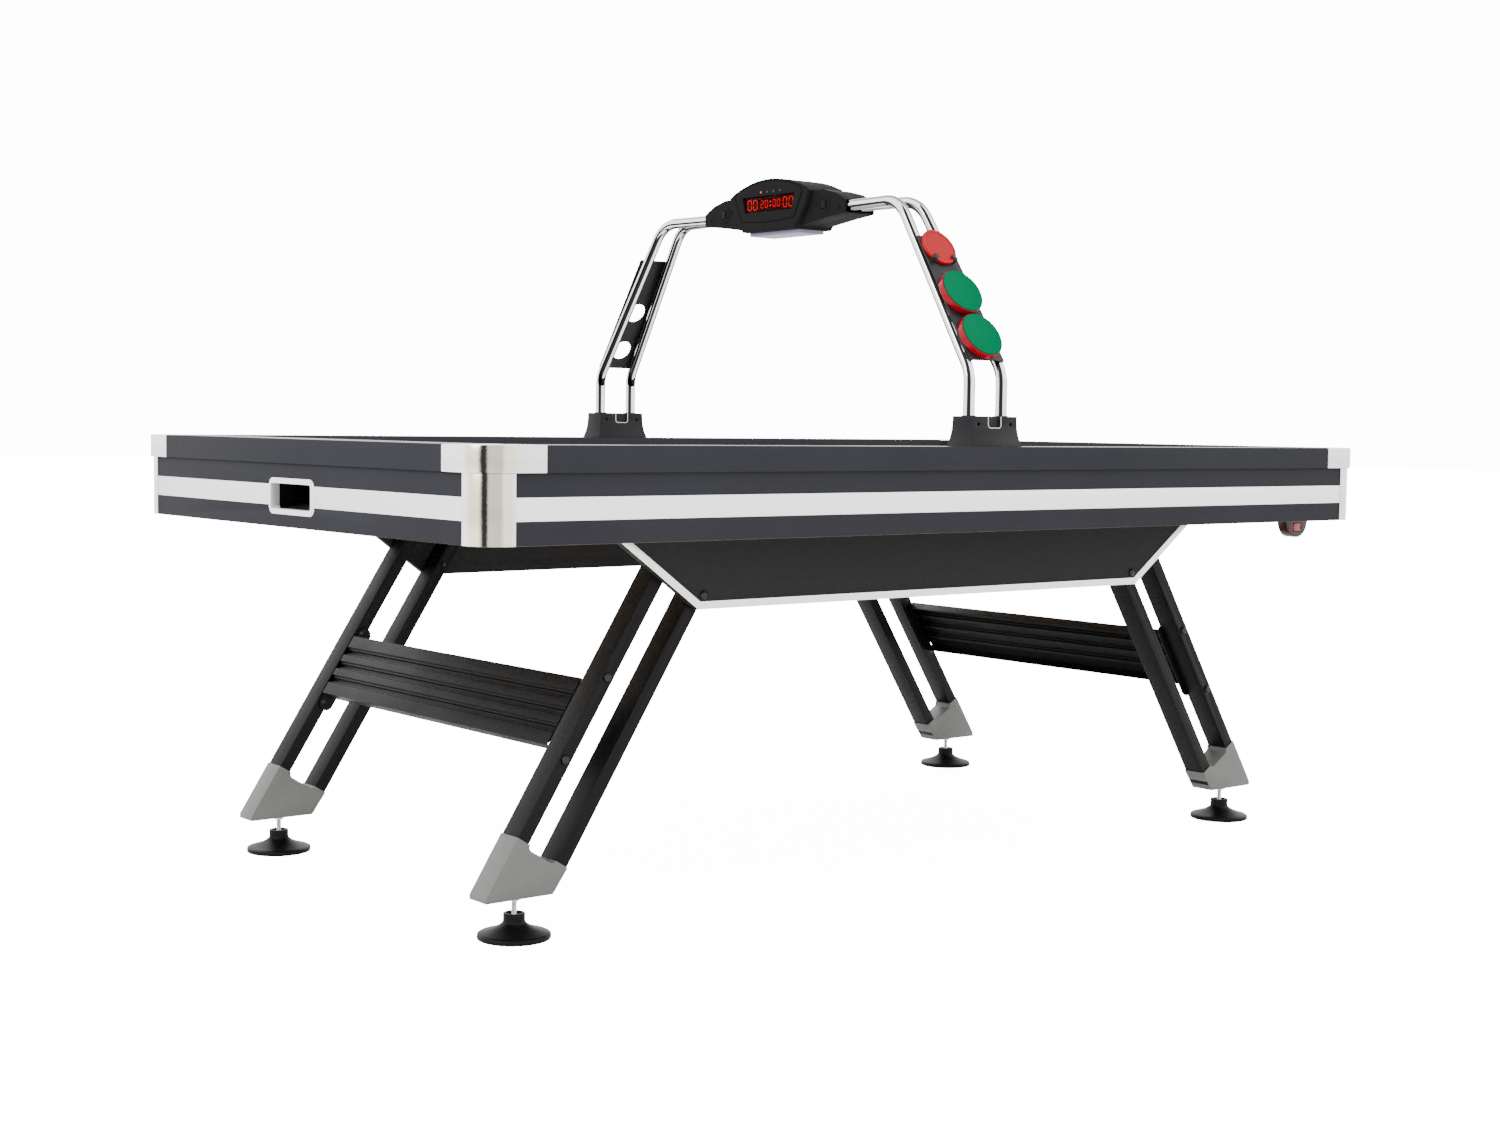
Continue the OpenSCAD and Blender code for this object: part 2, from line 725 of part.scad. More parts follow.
module arch_tubes(side) {
    color(chrome_c) for (sx = [-1, 1])
        mirror_y(side) mirror_x(sx) translate([arch_s0, arch_y0, 0])
            rotate([0, 0, -90 - arch_plan]) bent_tube();
}

// ---------------------------------------------------------------- racks

arch_lean = atan((arch_y0 - arch_y2) / (arch_z - bend_z));
plate_y = tube_r + 2;     // plate's inner face from the tubes' plane
plate_t = 3;
rack_z0 = 17;
rack_z1 = 305;
hang_z = [66, 167];       // pusher places up the slope
hang_r = 24;
puck_z = 277;
puck_t = 7;
pusher_h = 14;
knob_r = 19;

// Frame on the arch's slope, outer side towards -Y, origin at the lower bend, local Z up the slope
module on_slope(side) {
    mirror_y(-side) translate([0, -arch_y0, bend_z]) rotate([-arch_lean, 0, 0]) children();
}

// Clip with a foot on the plate and a lip over the puck's edge
module puck_clip(turn) {
    seat = puck_d / 2 + 0.5;
    translate([0, -plate_y - plate_t, puck_z]) rotate([0, turn, 0]) {
        span_box([seat, -puck_t - 3, -5], [seat + 3, 0, 5]);
        span_box([seat - 11, -puck_t - 3, -5], [seat + 3, -puck_t - 0.5, 5]);
    }
}

module rack(side) {
    color(black) on_slope(side) {
        difference() {
            translate([0, -plate_y, 0]) rotate([90, 0, 0]) linear_extrude(plate_t)
                polygon([[-45, rack_z0], [45, rack_z0], [41, rack_z1], [-41, rack_z1]]);
            for (z = hang_z)
                translate([0, -plate_y + 1, z]) rotate([90, 0, 0]) cylinder(r = hang_r, h = plate_t + 2);
        }
        // pads that stand the plate off the tubes
        for (s = [-1, 1], z = [30, 115, 225])
            span_box([s * slope_x(z) - 6, -plate_y, z - 8], [s * slope_x(z) + 6, -tube_r, z + 8]);
        for (a = [48, 132]) puck_clip(a);
    }
}

// Half spacing of the tubes at a place up the slope
function slope_x(z) = arch_s(arch_y0 - z * sin(arch_lean));

module puck() {
    color(red) on_slope(-1) translate([0, -plate_y - plate_t, puck_z]) rotate([90, 0, 0])
        difference() {
            cylinder(r = puck_d / 2, h = puck_t);
            translate([0, 0, puck_t - 1]) cylinder(r = puck_d / 2 - 6, h = 2);
        }
}

// Cup-shaped pusher hung by its knob, base outwards
module pusher(z) {
    r = pusher_d / 2;
    floor_h = 4;
    color(red) on_slope(-1) translate([0, -plate_y - plate_t, z]) rotate([90, 0, 0]) difference() {
        union() {
            cylinder(r = r, h = pusher_h);
            translate([0, 0, -26]) cylinder(r = knob_r, h = 30);
            translate([0, 0, -30]) cylinder(r1 = knob_r - 4, r2 = knob_r, h = 4);
        }
        difference() {
            translate([0, 0, -1]) cylinder(r = r - 4, h = pusher_h - floor_h + 1);
            translate([0, 0, -2]) cylinder(r = knob_r, h = pusher_h);
        }
    }
}

module felt(z) {
    color(green) on_slope(-1) translate([0, -plate_y - plate_t - pusher_h, z]) rotate([90, 0, 0])
        cylinder(r = pusher_d / 2 - 2, h = 1.5);
}

// ---------------------------------------------------------------- scorer pod

pod_mid = 10;         // the pod's middle, towards the far end
pod_hx = 50;          // half depth of the body
wing_hx = 39;         // half depth of the wings
pod_top = 1395;
pod_bot = 1287;
skin = 3;

// Upper edge of the body: a shallow dome
function dome(y) = pod_top - 16 * pow(abs(y) / 95, 2);

body_outline = concat([for (y = [-118 : 14.75 : 118]) [y, dome(y)]],
    [[131, 1362], [124, 1337], [104, 1308], [86, pod_bot], [-86, pod_bot], [-104, 1308],
        [-124, 1337], [-131, 1362]]);

wing_outline = [[-pod_mouth, 1310], [-pod_mouth, 1336], [-200, 1352], [-160, 1362], [160, 1362],
    [200, 1352], [pod_mouth, 1336], [pod_mouth, 1310], [170, 1303], [90, 1292], [-90, 1292],
    [-170, 1303]];

module prism_x(outline, x0, x1) {
    translate([x0, 0, 0]) rotate([90, 0, 90]) linear_extrude(x1 - x0) polygon(outline);
}

window_outline = [[-76, 1327], [76, 1327], [86, 1360], [-86, 1360]];
button_y = 165;
button_z = 1331;
button_h = [7, 8];    // half width and half height of a button

// Closed pod with its hollow, its windows and the tube channel
module pod_solid() {
    difference() {
        union() {
            prism_x(body_outline, -pod_hx, pod_hx);
            prism_x(wing_outline, -wing_hx, wing_hx);
        }
        span_box([-pod_hx + skin, -92, 1297], [pod_hx - skin, 92, 1372]);
        span_box([-wing_hx + skin, -pod_mouth - 1, arch_z - 12.5],
            [wing_hx - skin, pod_mouth + 1, arch_z + 11.5]);
        prism_x(window_outline, -pod_hx - 1, pod_hx + 1);
        for (s = [-1, 1])
            span_box([-wing_hx - 1, s * button_y - button_h[0] - 0.1, button_z - button_h[1] - 0.1],
                [-wing_hx + skin + 3, s * button_y + button_h[0] + 0.1, button_z + button_h[1] + 0.1]);
    }
}

module pod_front() {
    color([0.09, 0.09, 0.1]) translate([pod_mid, 0, 0]) intersection() {
        pod_solid();
        span_box([-100, -300, 1200], [0, 300, 1500]);
    }
}

module pod_back() {
    color([0.09, 0.09, 0.1]) translate([pod_mid, 0, 0]) intersection() {
        pod_solid();
        span_box([0, -300, 1200], [100, 300, 1500]);
    }
}

module display_lenses() {
    color([0.15, 0.01, 0.02]) translate([pod_mid, 0, 0]) for (s = [-1, 1])
        mirror_x(s) prism_x(window_outline, pod_hx - skin, pod_hx - 1);
}

// Boards with the digit blocks, behind the windows
module digit_boards() {
    color([0.3, 0.02, 0.02]) translate([pod_mid, 0, 0]) for (s = [-1, 1])
        mirror_x(s) span_box([pod_hx - skin - 8, -74, 1328], [pod_hx - skin, 74, 1359]);
}

module pod_light() {
    color([0.75, 0.75, 0.85]) translate([pod_mid, 0, 0])
        span_box([-34, -82, pod_bot - 8], [34, 82, pod_bot]);
}

// Button with a stop flange inside the wing's skin
module pod_button(s) {
    color([0.04, 0.04, 0.04]) translate([pod_mid, 0, 0])
        span_box([-wing_hx - 2.5, s * button_y - button_h[0], button_z - button_h[1]],
            [-wing_hx + skin, s * button_y + button_h[0], button_z + button_h[1]]);
}

// ---------------------------------------------------------------- nodes

playfield();
side_rail(-1);  // rail_near
side_rail(1);  // rail_far
end_rail(-1);  // rail_end_a
end_rail(1);  // rail_end_b
side_apron(-1);  // apron_near
side_apron(1);  // apron_far
end_apron(-1);  // apron_end_a
end_apron(1);  // apron_end_b
apron_stripes();
corner_caps();
corner_posts();
return_bezel(-1);  // return_bezel_a
return_bezel(1);  // return_bezel_b
goal_box(-1);  // goal_box_a
goal_box(1);  // goal_box_b
cabinet_bottom();
plenum_frame();
plenum_floor();
blower_housing();
blower_impeller();
blower_motor();
intake_grille();
switch_pod();
power_rocker();
side_panel(-1);  // side_panel_near
side_panel(1);  // side_panel_far
panel_trims();
leg(-1, -1);  // leg_1
leg(1, -1);  // leg_2
leg(-1, 1);  // leg_3
leg(1, 1);  // leg_4
leg_shoes();
jam_nuts();
leveller(-1, -1);  // leveller_1
leveller(1, -1);  // leveller_2
leveller(-1, 1);  // leveller_3
leveller(1, 1);  // leveller_4
cross_panel(-1);  // cross_panel_a
cross_panel(1);  // cross_panel_b
cross_brackets();
frame_bolts();
arch_base(-1);  // arch_base_near
arch_base(1);  // arch_base_far
arch_tubes(-1);  // arch_tubes_near
arch_tubes(1);  // arch_tubes_far
rack(-1);  // rack_near
rack(1);  // rack_far
puck();
pusher(hang_z[1]);  // pusher_upper
pusher(hang_z[0]);  // pusher_lower
felt(hang_z[1]);  // felt_upper
felt(hang_z[0]);  // felt_lower
pod_front();
pod_back();
display_lenses();
digit_boards();
pod_light();
pod_button(-1);  // button_start
pod_button(1);  // button_reset
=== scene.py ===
"""Looks of the air hockey table: materials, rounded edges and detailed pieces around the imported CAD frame."""

import json
import math

import bmesh
import bpy
from mathutils import Matrix, Vector


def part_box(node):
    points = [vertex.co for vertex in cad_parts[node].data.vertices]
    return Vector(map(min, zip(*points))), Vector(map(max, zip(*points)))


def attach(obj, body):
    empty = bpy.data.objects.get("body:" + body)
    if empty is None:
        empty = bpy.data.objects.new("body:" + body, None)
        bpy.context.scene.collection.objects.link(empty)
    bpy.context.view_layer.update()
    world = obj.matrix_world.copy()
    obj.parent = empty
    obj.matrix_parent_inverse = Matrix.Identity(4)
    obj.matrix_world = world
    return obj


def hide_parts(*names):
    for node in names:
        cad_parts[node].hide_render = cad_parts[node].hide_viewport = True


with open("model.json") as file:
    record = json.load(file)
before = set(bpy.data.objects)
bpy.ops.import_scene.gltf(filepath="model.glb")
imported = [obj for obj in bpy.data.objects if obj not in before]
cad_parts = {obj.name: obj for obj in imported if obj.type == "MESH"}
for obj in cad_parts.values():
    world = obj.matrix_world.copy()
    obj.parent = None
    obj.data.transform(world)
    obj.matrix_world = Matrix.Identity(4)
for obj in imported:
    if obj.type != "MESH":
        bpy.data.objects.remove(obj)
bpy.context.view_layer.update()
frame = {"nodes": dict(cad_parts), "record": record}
NODES = frame["nodes"]
RECORD = frame["record"]
BODY_OF = {n: b for b, ns in RECORD["behaviour"]["bodies"].items() for n in ns}
SLOT_OF = {s["node"]: s["material_slot"] for s in RECORD["subparts"]}
MM = 0.001


# ------------------------------------------------------------------ node helpers

class Shader:
    """A material under construction: thin wrappers round Blender's shader nodes."""

    def __init__(self, name):
        self.mat = bpy.data.materials.new(name)
        self.mat.use_nodes = True
        self.tree = self.mat.node_tree
        self.tree.nodes.clear()
        self.out = self.tree.nodes.new("ShaderNodeOutputMaterial")
        self.bsdf = self.tree.nodes.new("ShaderNodeBsdfPrincipled")
        self.link(self.bsdf.outputs[0], self.out.inputs["Surface"])
        self.coord = self.tree.nodes.new("ShaderNodeTexCoord").outputs["Object"]

    def link(self, a, b):
        self.tree.links.new(a, b)

    def put(self, value, socket):
        """Links a socket or sets a constant."""
        if isinstance(value, bpy.types.NodeSocket):
            self.link(value, socket)
        elif hasattr(value, "__len__") and len(value) == 3 and len(socket.default_value) == 4:
            socket.default_value = (*value, 1)
        else:
            socket.default_value = value

    def set(self, **values):
        """Sets inputs of the Principled shader by name, with underscores for spaces."""
        for key, value in values.items():
            self.put(value, self.bsdf.inputs[key.replace("_", " ")])
        return self

    def math(self, op, a, b=0.0):
        node = self.tree.nodes.new("ShaderNodeMath")
        node.operation = op
        for value, socket in zip((a, b), node.inputs):
            self.put(value, socket)
        return node.outputs[0]

    def mapped(self, scale, rotation=(0, 0, 0)):
        node = self.tree.nodes.new("ShaderNodeMapping")
        self.link(self.coord, node.inputs["Vector"])
        node.inputs["Scale"].default_value = scale
        node.inputs["Rotation"].default_value = rotation
        return node.outputs[0]

    def noise(self, scale, detail, rough=0.5, vector=None):
        node = self.tree.nodes.new("ShaderNodeTexNoise")
        self.link(vector or self.coord, node.inputs["Vector"])
        node.inputs["Scale"].default_value = scale
        node.inputs["Detail"].default_value = detail
        node.inputs["Roughness"].default_value = rough
        return node.outputs["Fac"]

    def ramp(self, fac, lo, hi, from_lo, from_hi):
        node = self.tree.nodes.new("ShaderNodeMapRange")
        for value, key in ((fac, "Value"), (from_lo, "From Min"), (from_hi, "From Max"),
                           (lo, "To Min"), (hi, "To Max")):
            self.put(value, node.inputs[key])
        return node.outputs["Result"]

    def mix(self, fac, a, b, blend="MIX"):
        node = self.tree.nodes.new("ShaderNodeMix")
        node.data_type = "RGBA"
        node.blend_type = blend
        for value, socket in zip((fac, a, b), (node.inputs[0], node.inputs[6], node.inputs[7])):
            self.put(value, socket)
        return node.outputs[2]

    def multiply(self, a, b):
        return self.mix(1.0, a, b, "MULTIPLY")

    def bump(self, height, strength, distance=0.0005):
        node = self.tree.nodes.new("ShaderNodeBump")
        node.inputs["Strength"].default_value = strength
        node.inputs["Distance"].default_value = distance
        self.link(height, node.inputs["Height"])
        return node.outputs["Normal"]

    def position(self):
        """X, Y and Z of the point, in metres."""
        return self.split(self.coord)

    def mirrored(self):
        """The direction a mirror would show at this point."""
        return self.split(self.tree.nodes.new("ShaderNodeTexCoord").outputs["Reflection"])

    def painted_reflection(self, table, grain):
        """Painted reflection: a tint put into the base colour by the azimuth of the mirrored direction,
        standing for studio walls that change colour with the azimuth.
        """
        seen = self.mirrored()
        turn = self.math("DIVIDE", self.math("ARCTAN2", seen["Y"], seen["X"]), 2 * math.pi)
        rough = self.ramp(self.noise(700, 3, 0.7), -grain, grain, 0.3, 0.7)
        node = self.tree.nodes.new("ShaderNodeValToRGB")
        self.link(self.math("FRACT", self.math("ADD", turn, rough)), node.inputs[0])
        stops = node.color_ramp.elements
        stops.remove(stops[0])
        for k, (degrees, color) in enumerate(table):
            stop = stops[0] if k == 0 else stops.new(degrees / 360)
            stop.position = degrees / 360
            stop.color = (*color, 1)
        return node.outputs[0]

    def split(self, vector):
        node = self.tree.nodes.new("ShaderNodeSeparateXYZ")
        self.link(vector, node.inputs[0])
        return node.outputs

    def upward(self):
        """Upright part of the surface normal: 1 on tops, 0 on walls, -1 on undersides."""
        geo = self.tree.nodes.new("ShaderNodeNewGeometry")
        return self.split(geo.outputs["Normal"])["Z"]

    def edge_wear(self):
        """0 on flat stretches, towards 1 within two millimetres of sharp edges."""
        bevel = self.tree.nodes.new("ShaderNodeBevel")
        bevel.inputs["Radius"].default_value = 2 * MM
        geo = self.tree.nodes.new("ShaderNodeNewGeometry")
        dot = self.tree.nodes.new("ShaderNodeVectorMath")
        dot.operation = "DOT_PRODUCT"
        self.link(bevel.outputs[0], dot.inputs[0])
        self.link(geo.outputs["Normal"], dot.inputs[1])
        return self.ramp(dot.outputs["Value"], 1.0, 0.0, 0.75, 1.0)

    def uneven(self, pattern, lo, hi):
        """Roughness that follows the middle of a noise pattern."""
        return self.ramp(pattern, lo, hi, 0.3, 0.7)


def varied(name, color, rough, metallic=0.0, spread=0.12, grain=1500, grain_bump=0.06,
           coat=0.0, dust=0.03, wear=0.0, spec=0.5):
    """General finish: cloudy colour and roughness, a fine grain, some dust and optional worn edges."""
    s = Shader(name)
    cloud = s.noise(9, 4, 0.55)
    fine = s.noise(grain, 3, 0.6)
    light = [min(1, c * (1 + spread) + dust * 0.12) for c in color]
    dark = [c * (1 - spread) for c in color]
    base = s.mix(cloud, dark, light)
    if wear:
        rubbed = [min(1, c * 2.2 + 0.03) for c in color]
        base = s.mix(s.math("MULTIPLY", s.edge_wear(), wear), base, rubbed)
    s.set(Base_Color=base, Metallic=metallic, Roughness=s.uneven(cloud, rough - 0.05, rough + 0.06),
          Coat_Weight=coat, Coat_Roughness=0.12, Specular_IOR_Level=spec, Normal=s.bump(fine, grain_bump))
    return s.mat


def powder_coat(name):
    """Black textured powder coat, a pebbled skin about half a millimetre across."""
    s = Shader(name)
    pebble = s.noise(1700, 2, 0.4)
    cloud = s.noise(6, 3)
    s.set(Base_Color=s.mix(cloud, (0.0015, 0.0015, 0.0018), (0.0038, 0.0038, 0.0043)),
          Specular_IOR_Level=0.1, Roughness=s.uneven(cloud, 0.4, 0.52), Normal=s.bump(pebble, 0.35, 0.0003))
    return s.mat


def laminate(name, raw_below):
    """Satin black laminate, brighter on tops, darker from the side panels' top down as painted shade, with raw
    fibreboard on undersides lower than raw_below.
    """
    s = Shader(name)
    cloud = s.noise(5, 4)
    peel = s.noise(420, 2, 0.4)
    height = s.position()["Z"]
    black = s.mix(cloud, (0.021, 0.021, 0.0242), (0.026, 0.026, 0.0298))
    # painted shade: the black turns darker from the side panels' top down, for the shade under the table's
    # overhang
    painted_shade_low = s.ramp(height, 1.0, 0.0, PANEL_TOP - 20 * MM, PANEL_TOP)
    black = s.mix(painted_shade_low, black, (0.0205, 0.0205, 0.0212))
    fibre = s.noise(900, 5, 0.75, s.mapped((1, 1, 3)))
    raw = s.mix(fibre, (0.42, 0.30, 0.18), (0.66, 0.52, 0.36))
    upward = s.upward()
    is_raw = s.math("MULTIPLY", s.math("LESS_THAN", upward, -0.9), s.math("LESS_THAN", height, raw_below))
    rough = s.math("MAXIMUM", s.uneven(cloud, 0.24, 0.36), s.math("MULTIPLY", is_raw, 0.8))
    s.set(Base_Color=s.mix(is_raw, black, raw), Roughness=rough,
          Specular_IOR_Level=s.ramp(upward, 0.004, 0.16, 0.3, 0.9), Normal=s.bump(peel, 0.05, 0.0004))
    return s.mat


def brushed(name, color, rough, along=(2, 2, 900), strength=0.12):
    """Metal with fine brush lines and faint smears; along holds the noise scales, large across the lines."""
    s = Shader(name)
    lines = s.noise(1.0, 3, 0.6, s.mapped(along))
    cloud = s.noise(7, 3)
    tone = s.mix(lines, [c * 0.86 for c in color], color)
    s.set(Base_Color=tone, Metallic=1.0, Roughness=s.uneven(lines, rough - 0.06, rough + 0.1),
          Normal=s.bump(lines, strength, 0.0002), Coat_Weight=s.ramp(cloud, 0.0, 0.05, 0.4, 0.8))
    return s.mat


# Painted reflections: azimuths in degrees from +X towards +Y, each with the colour painted into bright metals
# that mirror that way
WHITE, PALE = (1.0, 1.0, 1.0), (0.8, 0.82, 0.84)
CREAM, TAUPE = (0.78, 0.72, 0.56), (0.42, 0.385, 0.32)
GREY, DARK = (0.2, 0.2, 0.21), (0.018, 0.017, 0.015)
NICKEL_PAINTED_REFLECTIONS = ((0, WHITE), (24, WHITE), (28, DARK), (40, DARK), (46, WHITE), (134, WHITE),
                (150, CREAM), (186, CREAM), (199, DARK), (214, DARK), (222, TAUPE), (262, TAUPE),
                (276, CREAM), (294, CREAM), (306, PALE))
CHROME_PAINTED_REFLECTIONS = ((0, GREY), (100, GREY), (112, WHITE), (175, WHITE), (185, DARK), (252, DARK), (264, WHITE),
                (336, WHITE), (348, GREY))


def nickel(name, color, rough):
    """Satin nickel with painted reflections of studio cards in its colour."""
    s = Shader(name)
    cloud = s.noise(9, 4, 0.55)
    # painted reflection: colour of studio cards by the mirrored azimuth, multiplied into the plating
    tint = s.painted_reflection(NICKEL_PAINTED_REFLECTIONS, 0.012)
    plate = s.mix(cloud, [c * 0.97 for c in color], color)
    s.set(Base_Color=s.multiply(tint, plate), Metallic=1.0,
          Roughness=s.uneven(cloud, rough - 0.03, rough + 0.05), Normal=s.bump(s.noise(1500, 3, 0.6), 0.04))
    return s.mat


def chrome(name, tint, rough):
    """Polished plating with faint smears, painted reflections of studio cards and a painted dark reflection
    band just under the horizon.
    """
    s = Shader(name)
    smear = s.noise(22, 5, 0.6)
    # painted reflection: the colour turns dark where the mirrored direction points just below the horizon
    height = s.mirrored()["Z"]
    above = s.ramp(height, 0.0, 1.0, -0.05, -0.02)
    below = s.ramp(height, 1.0, 0.0, -0.52, -0.46)
    painted_dark_band = s.mix(s.math("MAXIMUM", above, below), (0.012, 0.012, 0.014), tint)
    s.set(Base_Color=s.multiply(s.painted_reflection(CHROME_PAINTED_REFLECTIONS, 0.004), painted_dark_band), Metallic=1.0,
          Roughness=s.ramp(smear, rough * 0.6, rough * 2.2, 0.35, 0.75))
    return s.mat


def felt(name, color):
    """Pressed wool felt: short fibres in two directions, with no shine."""
    s = Shader(name)
    fibre_a = s.noise(900, 6, 0.8, s.mapped((1, 3, 1), (0.4, 0.2, 0.7)))
    fibre_b = s.noise(900, 6, 0.8, s.mapped((3, 1, 1), (0.1, 0.6, 0.2)))
    both = s.math("MULTIPLY", s.math("ADD", fibre_a, fibre_b), 0.5)
    patch = s.noise(60, 4, 0.6)
    pile = s.mix(both, [c * 0.6 for c in color], [min(1, c * 1.35) for c in color])
    worn = [c * 0.8 for c in color]
    s.set(Base_Color=s.mix(s.math("MULTIPLY", patch, 0.25), pile, worn), Roughness=0.95,
          Specular_IOR_Level=0.0, Normal=s.bump(both, 0.6, 0.0008))
    return s.mat


def glowing(name, color, strength, body=(0.02, 0.0, 0.0)):
    """Lit plastic whose glow is slightly uneven; body is its own colour."""
    s = Shader(name)
    s.set(Base_Color=body, Roughness=0.4, Emission_Color=color,
          Emission_Strength=s.uneven(s.noise(300, 2), strength * 0.9, strength * 1.1))
    return s.mat


def smoked_lens(name):
    """Dark red window that tints the lit digits behind it, a quarter of it seen as solid plastic."""
    s = Shader(name)
    clear = s.tree.nodes.new("ShaderNodeBsdfTransparent")
    clear.inputs[0].default_value = (0.85, 0.1, 0.1, 1)
    mixer = s.tree.nodes.new("ShaderNodeMixShader")
    mixer.inputs[0].default_value = 0.25
    s.set(Base_Color=s.mix(s.noise(40, 3), (0.012, 0.001, 0.001), (0.03, 0.003, 0.004)), Roughness=0.14,
          Specular_IOR_Level=0.08)
    s.link(clear.outputs[0], mixer.inputs[1])
    s.link(s.bsdf.outputs[0], mixer.inputs[2])
    s.link(mixer.outputs[0], s.out.inputs["Surface"])
    return s.mat


LINE_HALF, SPOT_R = 4 * MM, 6 * MM      # half width of the playfield's lines, radius of its centre spot
CIRCLE_R, CREASE_R = 160 * MM, 240 * MM
THIRDS = 0.42                           # place of the blue lines, as a share of the half length


def playfield_paint(name, half_x):
    """Gloss white with a red centre line, circle and spot, blue lines across and blue goal creases."""
    s = Shader(name)
    pos = s.position()
    from_middle = s.math("ABSOLUTE", pos["X"])

    def near(value, target, half):
        return s.math("LESS_THAN", s.math("ABSOLUTE", s.math("SUBTRACT", value, target)), half)

    def ring(centre_x, radius, half=LINE_HALF):
        dx = s.math("SUBTRACT", from_middle, centre_x)
        squares = s.math("ADD", s.math("MULTIPLY", dx, dx), s.math("MULTIPLY", pos["Y"], pos["Y"]))
        return near(s.math("SQRT", squares), radius, half)

    red_marks = s.math("MAXIMUM", s.math("LESS_THAN", from_middle, LINE_HALF), ring(0.0, CIRCLE_R))
    red_marks = s.math("MAXIMUM", red_marks, ring(0.0, SPOT_R, SPOT_R))
    blue_marks = s.math("MAXIMUM", near(from_middle, half_x * THIRDS, LINE_HALF), ring(half_x, CREASE_R))
    haze = s.noise(3, 4)
    white = s.mix(haze, (0.78, 0.80, 0.82), (0.86, 0.87, 0.88))
    paint = s.mix(blue_marks, white, (0.02, 0.08, 0.45))
    paint = s.mix(red_marks, paint, (0.6, 0.02, 0.03))
    s.set(Base_Color=paint, Roughness=s.uneven(haze, 0.1, 0.2), Coat_Weight=0.5, Coat_Roughness=0.05,
          Normal=s.bump(s.noise(500, 2), 0.015))
    return s.mat


PANEL_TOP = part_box("side_panel_near")[1].z
APRON_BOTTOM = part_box("apron_near")[0].z

MATERIALS = {
    "playfield_gloss": playfield_paint("playfield_paint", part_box("playfield")[1].x),
    "rail_black": laminate("rail_laminate", 0),
    "apron_black": laminate("apron_laminate", APRON_BOTTOM + 2 * MM),
    "stripe_silver": brushed("stripe_film", (0.97, 0.98, 1.0), 0.36),
    "corner_metal": nickel("corner_nickel", (1.0, 0.995, 0.985), 0.15),
    "bezel_silver": varied("bezel_silver", (0.88, 0.88, 0.88), 0.3, metallic=0.7, spread=0.03, grain=900,
                           grain_bump=0.03),
    "sheet_black": varied("sheet_black", (0.005, 0.005, 0.0056), 0.42, spread=0.2, grain=1400,
                          grain_bump=0.12, wear=0.3, spec=0.18),
    "board_raw": varied("raw_board", (0.40, 0.30, 0.20), 0.85, spread=0.25, grain=700, grain_bump=0.3),
    "blower_plastic": varied("blower_plastic", (0.03, 0.03, 0.033), 0.45, spread=0.15),
    "motor_steel": varied("motor_steel", (0.42, 0.42, 0.43), 0.35, metallic=0.9, spread=0.1),
    "switch_red": varied("switch_red", (0.2, 0.002, 0.004), 0.25, spread=0.08, dust=0, coat=0.2),
    "switch_dark": varied("switch_dark", (0.02, 0.002, 0.003), 0.3, spread=0.1, dust=0, coat=0.15, spec=0.2),
    "trim_silver": brushed("trim_silver", (0.88, 0.88, 0.88), 0.26, (300, 300, 300), 0.04),
    "tube_black": powder_coat("powder_coat"),
    "shoe_grey": varied("shoe_paint", (0.092, 0.094, 0.09), 0.42, metallic=0.1, spread=0.05, grain=1100,
                        wear=0.08, spec=0.35),
    "zinc": varied("zinc_plate", (0.62, 0.62, 0.63), 0.28, metallic=1.0, grain=800),
    "leveller_black": varied("leveller_plastic", (0.0015, 0.0015, 0.0017), 0.4, spread=0.15, grain=900,
                             grain_bump=0.05, dust=0, spec=0.1),
    "arch_plastic": varied("arch_plastic", (0.006, 0.006, 0.007), 0.45, grain=1900, grain_bump=0.16,
                           dust=0.01, spec=0.12),
    "arch_chrome": chrome("arch_chrome", (0.92, 0.92, 0.93), 0.035),
    "pod_plastic": varied("pod_plastic", (0.0075, 0.0074, 0.0076), 0.6, grain=2100, grain_bump=0.14,
                          dust=0, spec=0.02),
    "lens_red": smoked_lens("smoked_lens"),
    "digits": glowing("lit_digits", (1.0, 0.004, 0.012), 2.6),
    "diffuser": glowing("underside_light", (0.6, 0.5, 1.0), 0.06, (0.12, 0.105, 0.17)),
    "puck_red": varied("puck_red", (0.3, 0.003, 0.006), 0.3, spread=0.05, grain=700, grain_bump=0.03,
                       dust=0, spec=0.08),
    "pusher_red": varied("pusher_red", (0.2, 0.0, 0.006), 0.25, spread=0.05, grain=700, grain_bump=0.02,
                         coat=0.08, dust=0, spec=0.12),
    "felt_green": felt("green_felt", (0.0, 0.112, 0.046)),
    "bolt_black": varied("black_oxide", (0.02, 0.02, 0.021), 0.3, metallic=0.8, spread=0.15, grain=900,
                         grain_bump=0.05),
    # painted highlight: a pale grey for the bright line along the arch bases' notch edges
    "notch_painted_highlight": varied("notch_painted_highlight", (0.55, 0.56, 0.58), 0.4, metallic=0.3, spread=0.05),
    "digits_off": varied("unlit_segments", (0.09, 0.004, 0.006), 0.5),
    "led_off": varied("unlit_light", (0.05, 0.004, 0.006), 0.3),
    "colon_amber": glowing("lit_colon", (1.0, 0.3, 0.02), 6.0),
    "button_black": varied("button_rubber", (0.0015, 0.0015, 0.0015), 0.55, spread=0.1, grain_bump=0.1,
                           dust=0, spec=0.1),
    "display_board": varied("display_board", (0.004, 0.001, 0.001), 0.5, dust=0, spec=0.05),
}


# ------------------------------------------------------------------ mesh helpers


